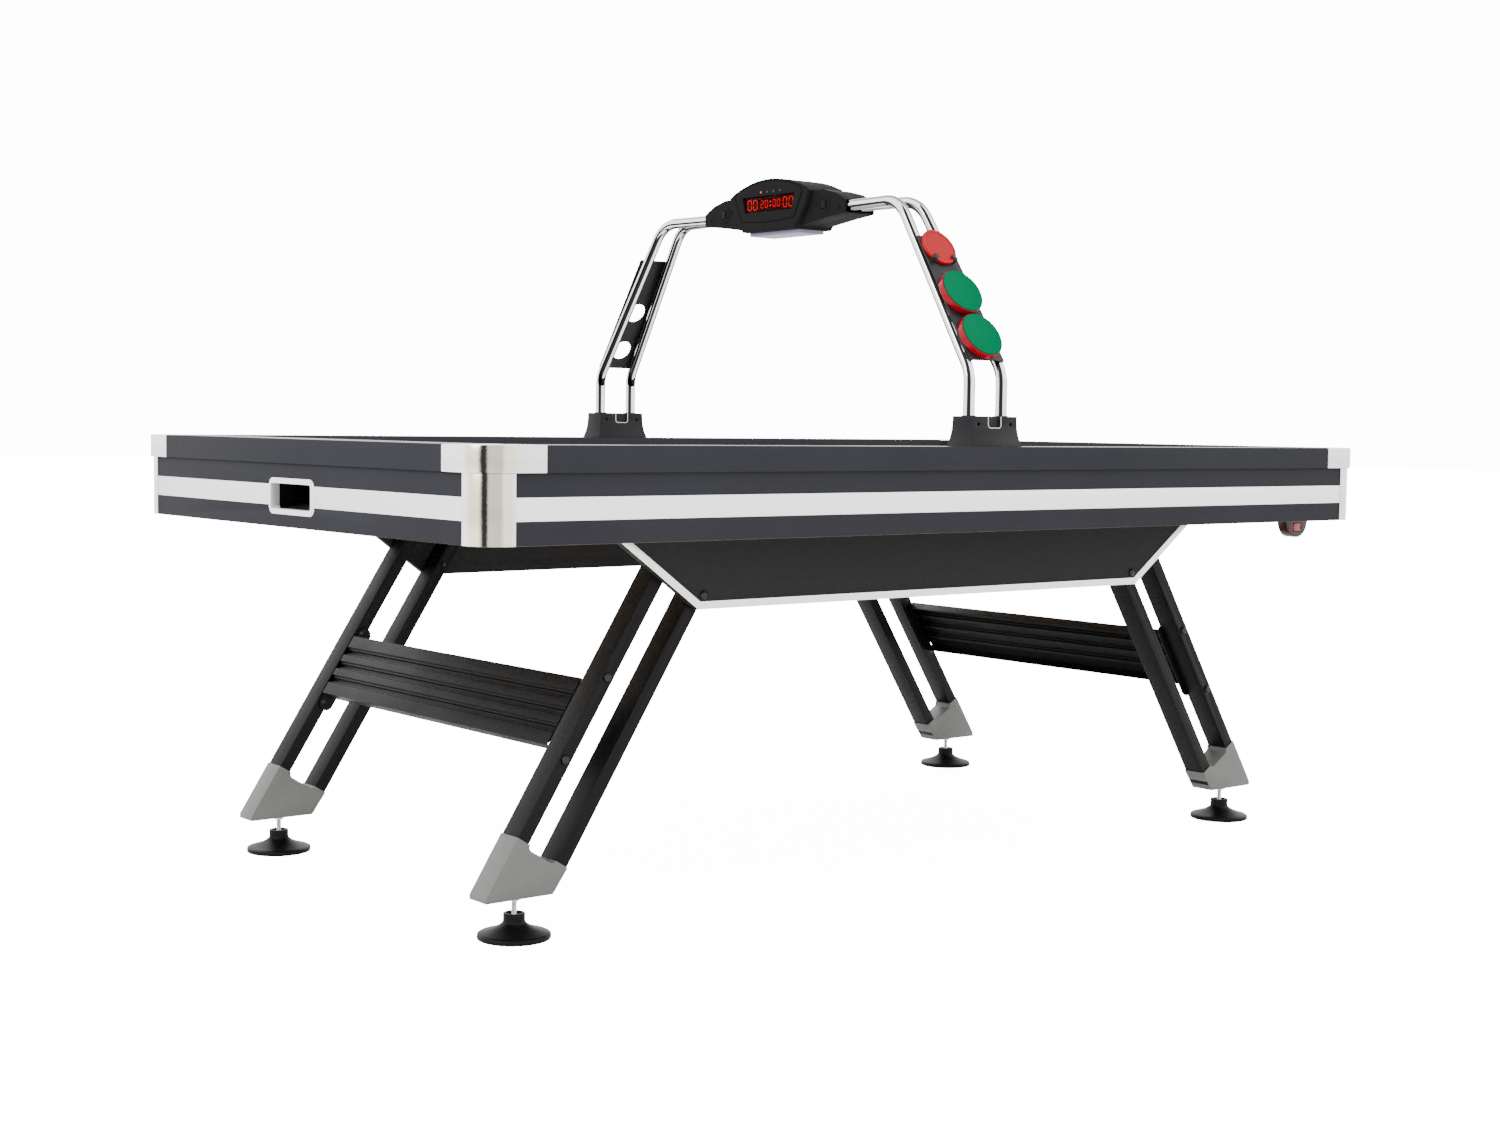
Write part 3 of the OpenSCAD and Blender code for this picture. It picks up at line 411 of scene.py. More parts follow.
def piece(name, mesh, body, finish, *nodes):
    """A new object for a finished mesh: rides on a body, takes a finish, stands for CAD nodes."""
    obj = bpy.data.objects.new(name, mesh)
    bpy.context.scene.collection.objects.link(obj)
    obj.data.materials.append(MATERIALS[finish])
    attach(obj, body)
    if nodes:
        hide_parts(*nodes)
    return obj


def to_mesh(bm, name, sharp=35):
    """Mesh from a bmesh, smooth except across edges sharper than the angle."""
    bmesh.ops.recalc_face_normals(bm, faces=bm.faces[:])
    for face in bm.faces:
        face.smooth = True
    limit = math.radians(sharp)
    for edge in bm.edges:
        edge.smooth = len(edge.link_faces) == 2 and edge.calc_face_angle(0) < limit
    mesh = bpy.data.meshes.new(name)
    bm.to_mesh(mesh)
    bm.free()
    return mesh


ON_AXIS = 1e-7               # radii in metres up to this count as lying on a lathe's axis


def bridge(bm, rings, wrap=False):
    """Bands of quads between neighbouring rings, and back from the last to the first if wrapped."""
    for a, b in zip(rings, rings[1:] + (rings[:1] if wrap else [])):
        for k in range(len(a)):
            n = (k + 1) % len(a)
            bm.faces.new((a[k], a[n], b[n], b[k]))


def closed_prism(bm, rings):
    """Two end faces and the walls between them."""
    bm.faces.new(rings[0])
    bm.faces.new(rings[1])
    bridge(bm, rings)


def bevel_sharp(bm, width, angle, segments):
    """Rounds every edge sharper than the angle."""
    limit = math.radians(angle)
    edges = [e for e in bm.edges if len(e.link_faces) == 2 and e.calc_face_angle(0) > limit]
    bmesh.ops.bevel(bm, geom=edges, offset=width, segments=segments, profile=0.6, affect="EDGES",
                    clamp_overlap=True)


def refine(node, width, segments=2, sharp=35, angle=30):
    """A rounded copy of a CAD node stands for it."""
    bm = bmesh.new()
    bm.from_mesh(NODES[node].data)
    bmesh.ops.remove_doubles(bm, verts=bm.verts, dist=1e-5)
    bmesh.ops.dissolve_limit(bm, angle_limit=math.radians(0.5), verts=bm.verts, edges=bm.edges)
    bevel_sharp(bm, width, angle, segments)
    return piece(node + ".fine", to_mesh(bm, node + ".fine", sharp), BODY_OF[node], SLOT_OF[node], node)


def lathe(name, profile, place, body, finish, nodes, segments, sharp):
    """Turns a closed profile of (radius, height) in millimetres about local Z."""
    bm = bmesh.new()
    turns = [2 * math.pi * k / segments for k in range(segments)]
    rings = []
    for r, z in ((r * MM, z * MM) for r, z in profile):
        if r > ON_AXIS:
            rings.append([bm.verts.new((r * math.cos(a), r * math.sin(a), z)) for a in turns])
        else:
            rings.append([bm.verts.new((0, 0, z))])
    for a, b in zip(rings, rings[1:] + rings[:1]):
        if len(a) == 1 and len(b) == 1:
            continue
        for k in range(segments):
            n = (k + 1) % segments
            corners = [a[k % len(a)], a[n % len(a)], b[n % len(b)], b[k % len(b)]]
            bm.faces.new(list(dict.fromkeys(corners)))
    bm.transform(place)
    return piece(name, to_mesh(bm, name, sharp), body, finish, *nodes)


def sweep(name, points, radius, finish, nodes, sides):
    """Round bar along a path, closed at both ends."""
    bm = bmesh.new()
    points = [Vector(p) for p in points]
    normal = (points[1] - points[0]).orthogonal().normalized()
    turns = [2 * math.pi * k / sides for k in range(sides)]
    rings = []
    for k, p in enumerate(points):
        ahead = points[min(k + 1, len(points) - 1)] - points[max(k - 1, 0)]
        ahead.normalize()
        normal = (normal - ahead * normal.dot(ahead)).normalized()
        side = ahead.cross(normal)
        rings.append([bm.verts.new(p + radius * (math.cos(t) * normal + math.sin(t) * side)) for t in turns])
    bridge(bm, rings)
    bm.faces.new(rings[0])
    bm.faces.new(rings[-1])
    return piece(name, to_mesh(bm, name, 40), "table", finish, *nodes)


def arc(cx, cz, r, a0, a1, n):
    """Points that split an arc, from a0 to a1 in degrees, into n equal steps."""
    return [(cx + r * math.cos(math.radians(a0 + (a1 - a0) * k / n)),
             cz + r * math.sin(math.radians(a0 + (a1 - a0) * k / n))) for k in range(n + 1)]


def axis_place(origin, z_axis, x_axis):
    """Matrix with local Z along one axis and local X as near as can be to another."""
    z = Vector(z_axis).normalized()
    x = Vector(x_axis)
    x = (x - z * x.dot(z)).normalized()
    y = z.cross(x)
    rot = Matrix((x, y, z)).transposed().to_4x4()
    return Matrix.Translation(origin) @ rot


def screw(name, place, finish, r):
    """Low button-head screw with a recessed middle."""
    head = [(0, 0.5), (r * 0.42, 0.5), (r * 0.5, 1.3)]
    head += arc(r * 0.62, r * 0.02 + 0.35, r * 0.38, 75, 0, 5) + [(r, -0.5), (0, -0.5)]
    return lathe(name, head, place, "table", finish, (), 24, 50)


SIDES = (("near", -1), ("far", 1))


# ------------------------------------------------------------------ CAD nodes with rounded edges

# Width in millimetres of each node's rounded edges. The jam nuts take a narrow one, because their corners lie
# only 0.2 mm inside their washers' rims.
ROUNDED = {
    "rail_near": 4, "rail_far": 4, "rail_end_a": 4, "rail_end_b": 4,
    "apron_near": 0.6, "apron_far": 0.6, "apron_end_a": 0.6, "apron_end_b": 0.6,
    "apron_stripes": 0.2, "corner_caps": 2.2, "corner_posts": 0.8,
    "return_bezel_a": 0.9, "return_bezel_b": 0.9, "goal_box_a": 0.5, "goal_box_b": 0.5,
    "cabinet_bottom": 0.5, "plenum_frame": 0.5, "plenum_floor": 0.5,
    "switch_pod": 1.5, "power_rocker": 0.4,
    "side_panel_near": 0.8, "side_panel_far": 0.8, "panel_trims": 0.4,
    "leg_1": 1.6, "leg_2": 1.6, "leg_3": 1.6, "leg_4": 1.6, "leg_shoes": 1.4,
    "jam_nuts": 0.08, "cross_panel_a": 0.5, "cross_panel_b": 0.5, "cross_brackets": 0.7,
    "frame_bolts": 0.3,
    "arch_base_near": 1.2, "arch_base_far": 1.2, "rack_near": 0.6, "rack_far": 0.6,
    "blower_housing": 0.6, "blower_impeller": 0.2, "blower_motor": 0.5, "intake_grille": 0.3,
    "button_start": 0.6, "button_reset": 0.6,
}
for node_name, width_mm in ROUNDED.items():
    refine(node_name, width_mm * MM)

for node_name, obj in NODES.items():
    obj.data.materials.clear()
    obj.data.materials.append(MATERIALS[SLOT_OF[node_name]])


# ------------------------------------------------------------------ playfield with its air holes

HOLE_PITCH, HOLE_R, HOLE_DEPTH = 25.4 * MM, 0.9 * MM, 4 * MM
MARGIN = 0.3                 # least plain margin at the rails, as a share of the pitch


def air_board():
    """Board with an eight-sided blind hole in every cell of its grid and a plain margin."""
    lo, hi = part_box("playfield")

    def lines(reach):
        half = int(reach / HOLE_PITCH - MARGIN) * HOLE_PITCH
        inner = [-half + k * HOLE_PITCH for k in range(round(2 * half / HOLE_PITCH) + 1)]
        return [-reach] + inner + [reach]

    xs, ys = lines(hi.x), lines(hi.y)
    bm = bmesh.new()
    grid = [[bm.verts.new((x, y, hi.z)) for y in ys] for x in xs]
    for i in range(len(xs) - 1):
        for j in range(len(ys) - 1):
            square = [grid[i + 1][j + 1], grid[i][j + 1], grid[i][j], grid[i + 1][j]]
            if i in (0, len(xs) - 2) or j in (0, len(ys) - 2):
                bm.faces.new(square)
                continue
            middle = Vector(((xs[i] + xs[i + 1]) / 2, (ys[j] + ys[j + 1]) / 2, hi.z))
            top = [bm.verts.new(middle + Vector((HOLE_R * math.cos(a), HOLE_R * math.sin(a), 0)))
                   for a in (math.radians(22.5 + 45 * k) for k in range(8))]
            low = [bm.verts.new((v.co.x, v.co.y, hi.z - HOLE_DEPTH)) for v in top]
            for q in range(4):
                a, b, c = top[2 * q], top[2 * q + 1], top[(2 * q + 2) % 8]
                bm.faces.new((square[q], b, a))
                bm.faces.new((square[q], square[(q + 1) % 4], c, b))
            bridge(bm, [top, low])
            bm.faces.new(low)
    rim = [column[0] for column in grid] + grid[-1][1:]
    rim += [column[-1] for column in grid[-2::-1]] + grid[0][-2:0:-1]
    base = [bm.verts.new((v.co.x, v.co.y, lo.z)) for v in rim]
    bridge(bm, [rim, base])
    bm.faces.new(base)
    piece("playfield.fine", to_mesh(bm, "playfield.fine", 30), "table", "playfield_gloss", "playfield")


air_board()


# ------------------------------------------------------------------ levellers

LEVEL_X, LEVEL_Y = 944.4, 444.5
PAD_R, PAD_TOP, STUD_TOP = 63.5, 44, 112.5
FLARE_STEPS = 28
THREAD_FOOT, THREAD_PITCH, THREAD_TURNS = 41, 1.5, 45
THREAD_ROOT, THREAD_CREST = 4.2, 4.6


def levellers():
    """Moulded pads with a concave flare and a threaded stud, its thread drawn as rings."""
    shares = [k / FLARE_STEPS for k in range(FLARE_STEPS + 1)]
    flare = [(19 + 41 * (1 - t) ** 1.9, 10 + 21 * t) for t in shares]
    pad = [(0, 0), (PAD_R - 2, 0)] + arc(PAD_R - 2, 2, 2, -90, 0, 4) + arc(PAD_R - 2, 7, 2, 0, 90, 4)
    pad += flare + arc(17.5, PAD_TOP - 1.5, 1.5, 0, 90, 4)
    pad += [(14, PAD_TOP), (13, THREAD_FOOT), (0, THREAD_FOOT)]
    stud = [(0, THREAD_FOOT)]
    for k in range(THREAD_TURNS):
        z = THREAD_FOOT + THREAD_PITCH * k
        stud += [(THREAD_ROOT, z), (THREAD_CREST, z + 0.55), (THREAD_CREST, z + 0.75)]
    stud += [(THREAD_ROOT, 109), (THREAD_ROOT - 0.4, STUD_TOP), (0, STUD_TOP)]
    for k, (sx, sy) in enumerate(((-1, -1), (1, -1), (-1, 1), (1, 1)), 1):
        node = "leveller_%d" % k
        place = Matrix.Translation((sx * LEVEL_X * MM, sy * LEVEL_Y * MM, 0))
        lathe(node + ".pad", pad, place, BODY_OF[node], "leveller_black", (node,), 96, 40)
        lathe(node + ".stud", stud, place, BODY_OF[node], "zinc", (), 40, 60)


levellers()


# ------------------------------------------------------------------ arch

# Heights of the tubes' top run, lower bends and feet; distances of their parts from the table's middle
ARCH_Z, BEND_Z, ARCH_FOOT = 1325, 985, 852
ARCH_Y, ARCH_BEND_Y, POD_MOUTH, ARCH_END_Y = 609, 388, 232, 202
ARCH_S = (43, 14.5)          # half spacing of the tubes at the bases and at the pod's mouths
TUBE_R, BEND_R = 11, 75
LOW_STEPS, HIGH_STEPS = 12, 20
BASE_TOP, BASE_HEIGHT = 901, 57
PLAN = math.atan((ARCH_S[0] - ARCH_S[1]) / (ARCH_Y - POD_MOUTH))
LEAN = math.atan((ARCH_Y - ARCH_BEND_Y) / (ARCH_Z - BEND_Z))


def tube_path():
    """Path of one tube in its own plane: distance in from its foot, and height."""
    reach_bend = (ARCH_Y - ARCH_BEND_Y) / math.cos(PLAN)
    reach_end = (ARCH_Y - ARCH_END_Y) / math.cos(PLAN)
    lean = math.atan(reach_bend / (ARCH_Z - BEND_Z))
    rest = math.pi / 2 - lean
    cut_lo = BEND_R * math.tan(lean / 2)
    cut_hi = BEND_R * math.tan(rest / 2)
    low = [(BEND_R * (1 - math.cos(a)), BEND_Z - cut_lo + BEND_R * math.sin(a))
           for a in (lean * k / LOW_STEPS for k in range(LOW_STEPS + 1))]
    high = [(reach_bend + cut_hi + BEND_R * math.cos(a), ARCH_Z - BEND_R + BEND_R * math.sin(a))
            for a in (math.pi - lean - rest * k / HIGH_STEPS for k in range(HIGH_STEPS + 1))]
    return [(0, ARCH_FOOT)] + low + high + [(reach_end, ARCH_Z)]


def arch_tubes():
    """Four bent tubes, each in its own upright plane that turns towards the pod."""
    for side_name, side in SIDES:
        node = "arch_tubes_" + side_name
        for sx in (-1, 1):
            points = []
            for u, z in tube_path():
                x = sx * (ARCH_S[0] - u * math.sin(PLAN))
                points.append((x * MM, side * (ARCH_Y - u * math.cos(PLAN)) * MM, z * MM))
            sweep("%s.tube_%s" % (node, "ab"[sx > 0]), points, TUBE_R * MM, "arch_chrome", (node,), 40)


NOTCH_HALF, NOTCH_R, NOTCH_DEPTH = 17, 6, 16
BASE_SCREW_X = 27


def base_details():
    """Painted highlight as a pale bar round each base's notches, the screws by the tubes and the collars round
    them.
    """
    corner = [(NOTCH_HALF - NOTCH_R + NOTCH_R * math.cos(a), BASE_TOP - NOTCH_DEPTH - NOTCH_R * math.sin(a))
              for a in (math.pi / 2 * k / 8 for k in range(9))]
    half = [(NOTCH_HALF, BASE_TOP - 0.5)] + corner
    outline = half + [(-x, z) for x, z in reversed(half)]
    lip = [(TUBE_R + r, z) for r, z in ((0.1, -1), (2.6, -1), (2.6, 0.8), (2, 1.4), (0.1, 1.4))]
    for side_name, side in SIDES:
        for face in (-1, 1):
            points = []
            for x, z in outline:
                wall = 26.2 + 7 * ((BASE_TOP - z) / BASE_HEIGHT) ** 2.6
                points.append((x * MM, (side * ARCH_Y + face * wall) * MM, z * MM))
            name = "notch_edge_%s_%s" % (side_name, "ab"[face > 0])
            # painted highlight: pale bar along the notch edge
            sweep(name, points, 0.8 * MM, "notch_painted_highlight", (), 10)
        for sx in (-1, 1):
            tag = "%s_%s" % (side_name, "ab"[sx > 0])
            middle = Vector((0, side * ARCH_Y, BASE_TOP))
            place = Matrix.Translation((middle + Vector((sx * BASE_SCREW_X, 0, 0))) * MM)
            screw("base_screw_" + tag, place, "zinc", 3.2)
            place = Matrix.Translation((middle + Vector((sx * ARCH_S[0], 0, 0))) * MM)
            lathe("base_collar_" + tag, lip, place, "table", "button_black", (), 48, 32)


arch_tubes()
base_details()


# ------------------------------------------------------------------ racks and what hangs on them

PLATE_Y = TUBE_R + 5         # outer face of the racks' plates, out from the plane of the tubes
RACK_UP = (17, 305)          # ends of the racks' plates up the slope


def slope_place(side, height):
    """Local Z points out of the rack's outer face, local Y up the slope, the origin that high up it."""
    up = Vector((0, -side * math.sin(LEAN), math.cos(LEAN)))
    out = Vector((0, side * math.cos(LEAN), math.sin(LEAN)))
    origin = Vector((0, side * ARCH_Y, BEND_Z)) + up * height + out * PLATE_Y
    rot = Matrix((up.cross(out), up, out)).transposed().to_4x4()
    return Matrix.Translation(origin * MM) @ rot


def rack_strips():
    """Soft strips that close the gap between the racks' plates and the tubes."""
    section = ((-4, -7), (4, -7), (4, -2.9), (-4, -2.9))
    for side_name, side in SIDES:
        for sx in (-1, 1):
            bm = bmesh.new()
            rings = []
            for up in RACK_UP:
                x = sx * (ARCH_S[0] - up * math.sin(LEAN) * math.tan(PLAN))
                rings.append([bm.verts.new(((x + dx) * MM, up * MM, dz * MM)) for dx, dz in section])
            closed_prism(bm, rings)
            bm.transform(slope_place(side, 0))
            name = "rack_strip_%s_%s" % (side_name, "ab"[sx > 0])
            piece(name, to_mesh(bm, name), "table", "sheet_black")


rack_strips()

PUCK_R, PUCK_H, PUCK_UP = 40, 7, 277
PUSHER_R, PUSHER_H = 48, 14
FELT_R, FELT_TOP = 46, 15.5
HANG_UP = {"lower": 66, "upper": 167}


def loose_pieces():
    """Puck with a raised rim and a groove, two pushers with their felts and the dark line round these."""
    puck = [(0, 0)] + arc(PUCK_R - 1.2, 1.2, 1.2, -90, 0, 5) + arc(PUCK_R - 1.2, PUCK_H - 1.2, 1.2, 0, 90, 5)
    puck += [(35.2, PUCK_H), (34.4, 6.8), (33.8, 6.1), (33, 6)]
    puck += [(31.4, 6), (31.1, 5.75), (30.6, 5.75), (30.3, 6), (1.8, 6), (1.2, 5.5), (0, 5.4)]
    lathe("puck.fine", puck, slope_place(-1, PUCK_UP), "puck_body", "puck_red", ("puck",), 128, 32)

    pusher = [(0, PUSHER_H), (PUSHER_R - 2.4, PUSHER_H)]
    pusher += arc(PUSHER_R - 2.2, PUSHER_H - 2.2, 2.2, 90, 0, 6) + [(PUSHER_R, 6)]
    pusher += arc(PUSHER_R - 1.5, 1.5, 1.5, 0, -90, 5)
    pusher += [(44, 0), (43.6, 8.5), (42, 10), (21, 10), (19, 8)]
    pusher += [(18.6, 4), (18, -8)] + arc(14, -22, 5, 0, -50, 5) + arc(0, -5, 24.9, -48, -90, 8)
    pad = [(0, PUSHER_H), (FELT_R, PUSHER_H), (FELT_R, FELT_TOP - 0.4)]
    pad += [(FELT_R - 0.4, FELT_TOP), (0, FELT_TOP)]
    edge = [(FELT_R + 0.05, 13.9), (FELT_R + 0.9, 13.8), (FELT_R + 0.8, 14.5), (FELT_R + 0.05, 14.9)]
    for name, up in HANG_UP.items():
        place = slope_place(-1, up)
        body = "pusher_%s_body" % name
        lathe("pusher_%s.fine" % name, pusher, place, body, "pusher_red", ("pusher_" + name,), 128, 32)
        lathe("felt_%s.fine" % name, pad, place, body, "felt_green", ("felt_" + name,), 128, 50)
        lathe("felt_edge_" + name, edge, place, body, "button_black", (), 128, 50)


loose_pieces()


# ------------------------------------------------------------------ scorer pod

POD_MID = 10                 # the pod's middle plane, in X
POD_HX, WING_HX = 50, 39     # from there to the middle part's face and to the wings' faces
FACE_Z = 1343                # height of the middle of its faces
POD_HALF_Y = 118
WINDOW = [(-76, 1327), (76, 1327), (86, 1360), (-86, 1360)]


def dome(y, drop=0):
    """Point of the pod's rounded top edge at y, lowered by the drop."""
    return (y, 1395 - 16 * (abs(y) / 95) ** 2 - drop)


BODY_EDGE = [dome(POD_HALF_Y - POD_HALF_Y * k / 8) for k in range(17)]
BODY_EDGE += [(-131, 1362), (-124, 1337), (-104, 1308), (-86, 1287)]
BODY_EDGE += [(86, 1287), (104, 1308), (124, 1337), (131, 1362)]
PLATE_EDGE = [dome(100 - 100 * k / 7, 5.5) for k in range(15)]
PLATE_EDGE += [(-106, 1368), (-109, 1361), (-87, 1314), (-82, 1309.5), (-40, 1307), (0, 1306)]
PLATE_EDGE += [(40, 1307), (82, 1309.5), (87, 1314), (109, 1361), (106, 1368)]


def pod_point(side, x, y, z):
    """Millimetres in the pod's frame, x out through the face on that side, to metres."""
    return ((POD_MID + side * x) * MM, y * MM, z * MM)


def pod_piece(name, bm, finish, bevel, angle, segments):
    """Finishes a mesh of the pod, with rounded edges if asked for."""
    if bevel:
        bmesh.ops.recalc_face_normals(bm, faces=bm.faces[:])
        bevel_sharp(bm, bevel * MM, angle, segments)
    return piece(name, to_mesh(bm, name, 30), "table", finish)


def ray_radius(outline, angle):
    """Distance from the face's middle to a star-shaped outline."""
    dy, dz = math.cos(angle), math.sin(angle)
    corners = [(y, z - FACE_Z) for y, z in outline]
    best = 0.0
    for (ay, az), (by, bz) in zip(corners, corners[1:] + corners[:1]):
        ey, ez = by - ay, bz - az
        det = dz * ey - dy * ez
        if abs(det) < 1e-9:
            continue
        t = (az * ey - ay * ez) / det
        u = (dy * az - dz * ay) / det
        if t > 0 and -1e-6 <= u <= 1 + 1e-6:
            best = max(best, t)
    return best


RAYS = 90                    # evenly spaced rays of a face ring, besides those through its corners
SAME_RAY = 0.004


def frame_ring(name, outer, inner, grow_outer, grow_inner, x0, x1, bevel, side):
    """Ring between two outlines round the face's middle, from x0 to x1 on one side of the pod."""
    angles = {round(2 * math.pi * k / RAYS, 5) for k in range(RAYS)}
    for y, z in outer + inner:
        angles.add(round(math.atan2(z - FACE_Z, y) % (2 * math.pi), 5))
    angles = sorted(angles)
    angles = [a for k, a in enumerate(angles) if k == 0 or a - angles[k - 1] > SAME_RAY]
    bm = bmesh.new()

    def ring(outline, grow, x):
        reaches = [(ray_radius(outline, a) + grow, a) for a in angles]
        return [bm.verts.new(pod_point(side, x, r * math.cos(a), FACE_Z + r * math.sin(a)))
                for r, a in reaches]

    outside = [ring(outer, grow_outer, x) for x in (x0, x1)]
    inside = [ring(inner, grow_inner, x) for x in (x0, x1)]
    bridge(bm, outside + inside[::-1], wrap=True)
    return pod_piece(name, bm, "pod_plastic", bevel, 50, 3)


def octagon_ring(name, outer, inner, centre, x0, x1, side):
    """Ring between two eight-point outlines round a centre on a wing."""
    bm = bmesh.new()
    rings = [[bm.verts.new(pod_point(side, x, centre[0] + y, centre[1] + z)) for y, z in outline]
             for outline, x in ((outer, x0), (outer, x1), (inner, x1), (inner, x0))]
    bridge(bm, rings, wrap=True)
    return pod_piece(name, bm, "pod_plastic", 0.7, 40, 2)


def prisms(name, outlines, x0, x1, finish, side, bevel=0.0):
    """Flat prisms in one piece; u runs to the right as a player sees that side."""
    bm = bmesh.new()
    for outline in outlines:
        closed_prism(bm, [[bm.verts.new(pod_point(side, x, side * u, z)) for u, z in outline]
                          for x in (x0, x1)])
    return pod_piece(name, bm, finish, bevel, 50, 2)


SEGMENTS = {"0": "abcdef", "2": "abged"}
SCORE, CLOCK = (12, 20), (8.5, 15)       # widths and heights of the digits of the scores and the clock
DIGITS = ((-67, SCORE, "0"), (-48, SCORE, "0"), (-25, CLOCK, "2"), (-11, CLOCK, "0"),
          (15, CLOCK, "0"), (29, CLOCK, "0"), (50, SCORE, "0"), (69, SCORE, "0"))
DIGIT_Z, LIGHT_Z = 1343.5, 1368
LIGHTS_U = (-23, -2, 19, 40)
BOARD_X = POD_HX - 3.1       # face of the digit boards


def segment_shapes(u, v, size, char):
    """Outlines of one digit's lit and unlit segments, u to the right and v up from its middle."""
    w, h = size
    t = h * 0.11 / 2
    gap = t * 0.7
    flat = (("a", h / 2), ("g", 0), ("d", -h / 2))
    upright = (("b", w / 2, h / 4), ("f", -w / 2, h / 4), ("c", w / 2, -h / 4), ("e", -w / 2, -h / 4))
    shapes = {}
    for key, dv in flat:
        half = w / 2 - gap
        shapes[key] = [(-half, dv), (t - half, dv + t), (half - t, dv + t), (half, dv),
                       (half - t, dv - t), (t - half, dv - t)]
    for key, du, dv in upright:
        half = h / 4 - gap
        shapes[key] = [(du, dv - half), (du + t, dv - half + t), (du + t, dv + half - t),
                       (du, dv + half), (du - t, dv + half - t), (du - t, dv - half + t)]
    lit = [[(u + a, v + b) for a, b in shapes[k]] for k in SEGMENTS[char]]
    dim = [[(u + a, v + b) for a, b in shapes[k]] for k in shapes if k not in SEGMENTS[char]]
    return lit, dim


def disc(u, z, r):
    """Outline of a round light, with twenty corners."""
    return [(u + r * math.cos(a), z + r * math.sin(a)) for a in (math.pi * k / 10 for k in range(20))]


def display(side_name, side):
    """Digits, colon and status lights of one face; the game clock sits between the two scores."""
    lit, dim = [], []
    for u, size, char in DIGITS:
        on, off = segment_shapes(u, DIGIT_Z, size, char)
        lit += on
        dim += off
    dots = [disc(2, DIGIT_Z + dz, 1.5) for dz in (-4, 4)]
    prisms("digits_lit_" + side_name, lit, BOARD_X, BOARD_X + 0.6, "digits", side)
    prisms("digits_unlit_" + side_name, dim, BOARD_X, BOARD_X + 0.4, "digits_off", side)
    prisms("colon_" + side_name, dots, BOARD_X, BOARD_X + 0.7, "colon_amber", side)
    for k, u in enumerate(LIGHTS_U, 1):
        prisms("status_light_%s_%d" % (side_name, k), [disc(u, LIGHT_Z, 2)], POD_HX + 2, POD_HX + 3.2,
               "digits" if k == 1 else "led_off", side)


WING_PANEL = [(-19, -8), (-11, -17), (11, -17), (19, -8), (19, 8), (11, 15), (-11, 17), (-19, 8)]
BUTTON_HOLE = [(-9.5, -7.5), (-6.5, -10.5), (6.5, -10.5), (9.5, -7.5), (9.5, 7.5), (6.5, 10.5),
               (-6.5, 10.5), (-9.5, 7.5)]
BUTTON_Y, BUTTON_Z = 165, 1330
WING_SCREWS = ((140, 1334), (211, 1322))


def pod():
    """Moulded shells with a framed face plate, wing panels round the buttons and their screws."""
    faces = (("front", -1), ("back", 1))
    for side_name, side in faces:
        refine("pod_" + side_name, 2.4 * MM, 3, 40, 25)
        frame_ring("face_rim_" + side_name, BODY_EDGE, PLATE_EDGE, -2.2, 2.6, POD_HX - 1.5, POD_HX + 1.6,
                   1.0, side)
        frame_ring("face_plate_" + side_name, PLATE_EDGE, WINDOW, 0, 0, POD_HX - 1.5, POD_HX + 2.6,
                   0.9, side)
        display(side_name, side)
        for wing in (-1, 1):
            tag = "%s_%s" % (side_name, "ab"[wing > 0])
            octagon_ring("wing_panel_" + tag, WING_PANEL, BUTTON_HOLE, (wing * BUTTON_Y, BUTTON_Z),
                         WING_HX - 1, WING_HX + 1.2, side)
            for y, z in WING_SCREWS:
                place = axis_place(pod_point(side, WING_HX, wing * y, z), (side, 0, 0), (0, 1, 0))
                screw("wing_screw_%s_%d" % (tag, y), place, "button_black", 3.6)
    refine("pod_light", 2.0 * MM, 3)
    for side_name, side in faces:
        lens = prisms("lens_" + side_name, [WINDOW], POD_HX - 2, POD_HX - 1, "lens_red", side, 0.2)
        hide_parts("display_lenses")


pod()


# ------------------------------------------------------------------ stage

SURROUND, BACKDROP = 2.6, 14.0           # the white surround's brightness to the table and to the camera
FLOOR_GLOW = 14.0                        # extra brightness of the floor, to the camera only
FLOOR_REACH = 40


def add_object(name, data):
    """A new object in the scene for a mesh, light or camera."""
    obj = bpy.data.objects.new(name, data)
    bpy.context.scene.collection.objects.link(obj)
    return obj


def add_floor():
    """Plain pale floor."""
    r = FLOOR_REACH
    mesh = bpy.data.meshes.new("floor")
    mesh.from_pydata([(-r, -r, 0), (r, -r, 0), (r, r, 0), (-r, r, 0)], [], [(0, 1, 2, 3)])
    floor = add_object("floor", mesh)
    s = Shader("floor_paint")
    path = s.tree.nodes.new("ShaderNodeLightPath")
    s.set(Base_Color=s.mix(s.noise(2, 3), (0.86, 0.86, 0.86), (0.9, 0.9, 0.9)), Roughness=0.75,
          Emission_Color=(1, 1, 1),
          Emission_Strength=s.math("MULTIPLY", path.outputs["Is Camera Ray"], FLOOR_GLOW))
    floor.data.materials.append(s.mat)


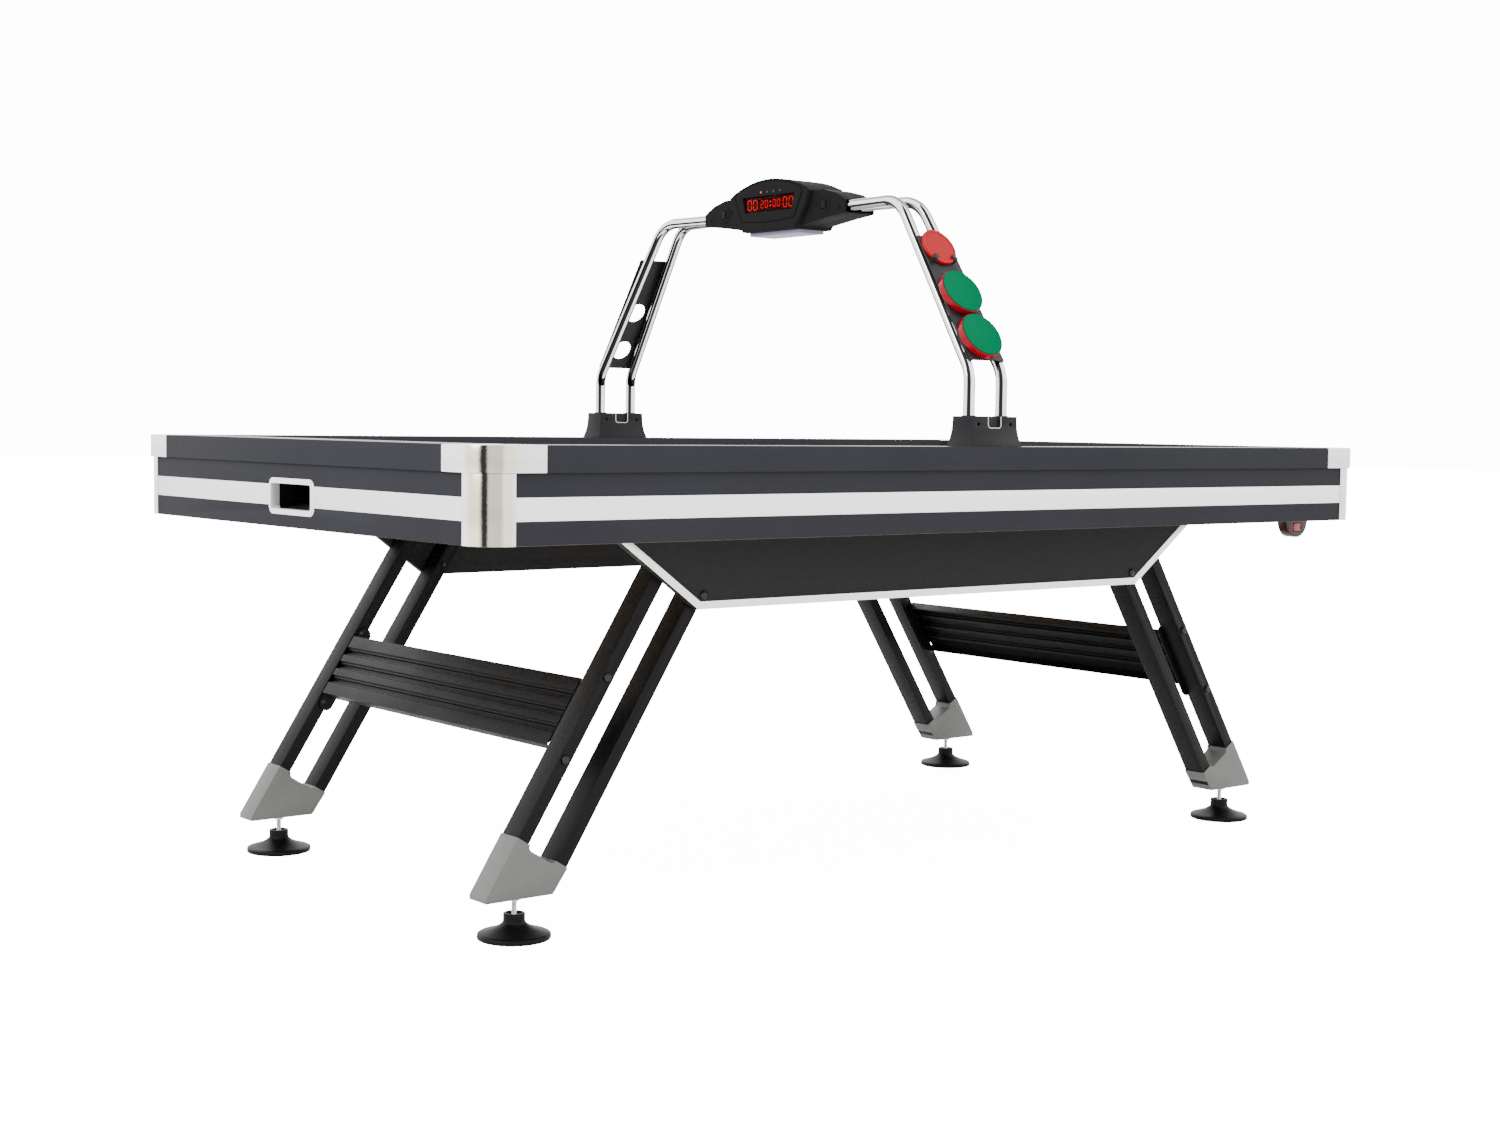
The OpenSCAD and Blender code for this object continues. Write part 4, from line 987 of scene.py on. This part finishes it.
def area_light(name, location, target, size, power):
    """Soft rectangular light aimed at a point."""
    light = bpy.data.lights.new(name, "AREA")
    light.shape = "RECTANGLE"
    light.size, light.size_y = size
    light.energy = power
    obj = add_object(name, light)
    obj.location = location
    obj.rotation_euler = (Vector(target) - Vector(location)).to_track_quat("-Z", "Y").to_euler()


def surround():
    """White surround, brighter to the camera than to the table."""
    world = bpy.data.worlds.new("surround")
    bpy.context.scene.world = world
    world.use_nodes = True
    tree = world.node_tree
    tree.nodes.clear()
    path = tree.nodes.new("ShaderNodeLightPath")
    level = tree.nodes.new("ShaderNodeMapRange")
    level.inputs["To Min"].default_value = SURROUND
    level.inputs["To Max"].default_value = BACKDROP
    light = tree.nodes.new("ShaderNodeBackground")
    light.inputs["Color"].default_value = (1, 1, 1, 1)
    out = tree.nodes.new("ShaderNodeOutputWorld")
    tree.links.new(path.outputs["Is Camera Ray"], level.inputs["Value"])
    tree.links.new(level.outputs["Result"], light.inputs["Strength"])
    tree.links.new(light.outputs[0], out.inputs[0])


CAMERA_AT = Vector((-2.8414, -3.4225, 0.8853))
CAMERA_TURN = (38.92, -3.87, 0.75)       # degrees right of +Y, up and tilted


def camera():
    """Viewpoint at the near left end, just above the rails."""
    yaw, pitch, roll = (math.radians(a) for a in CAMERA_TURN)
    forward = Vector((math.sin(yaw) * math.cos(pitch), math.cos(yaw) * math.cos(pitch), math.sin(pitch)))
    right = Vector((math.cos(yaw), -math.sin(yaw), 0))
    up = right.cross(forward)
    x = math.cos(roll) * right + math.sin(roll) * up
    y = -math.sin(roll) * right + math.cos(roll) * up
    data = bpy.data.cameras.new("camera")
    data.lens = 50.0
    data.sensor_width = 36.0
    data.clip_start, data.clip_end = 0.05, 200
    cam = add_object("camera", data)
    cam.matrix_world = Matrix.Translation(CAMERA_AT) @ Matrix((x, y, -forward)).transposed().to_4x4()
    bpy.context.scene.camera = cam


add_floor()
area_light("key", (-5.0, -0.6, 3.2), (0, 0, 0.6), (3.0, 3.0), 190)
area_light("fill", (4.5, -3.0, 3.0), (0, 0, 0.6), (2.5, 2.5), 40)
area_light("back", (0.5, 5.0, 4.0), (0, 0, 0.8), (4.0, 2.0), 60)
surround()
camera()
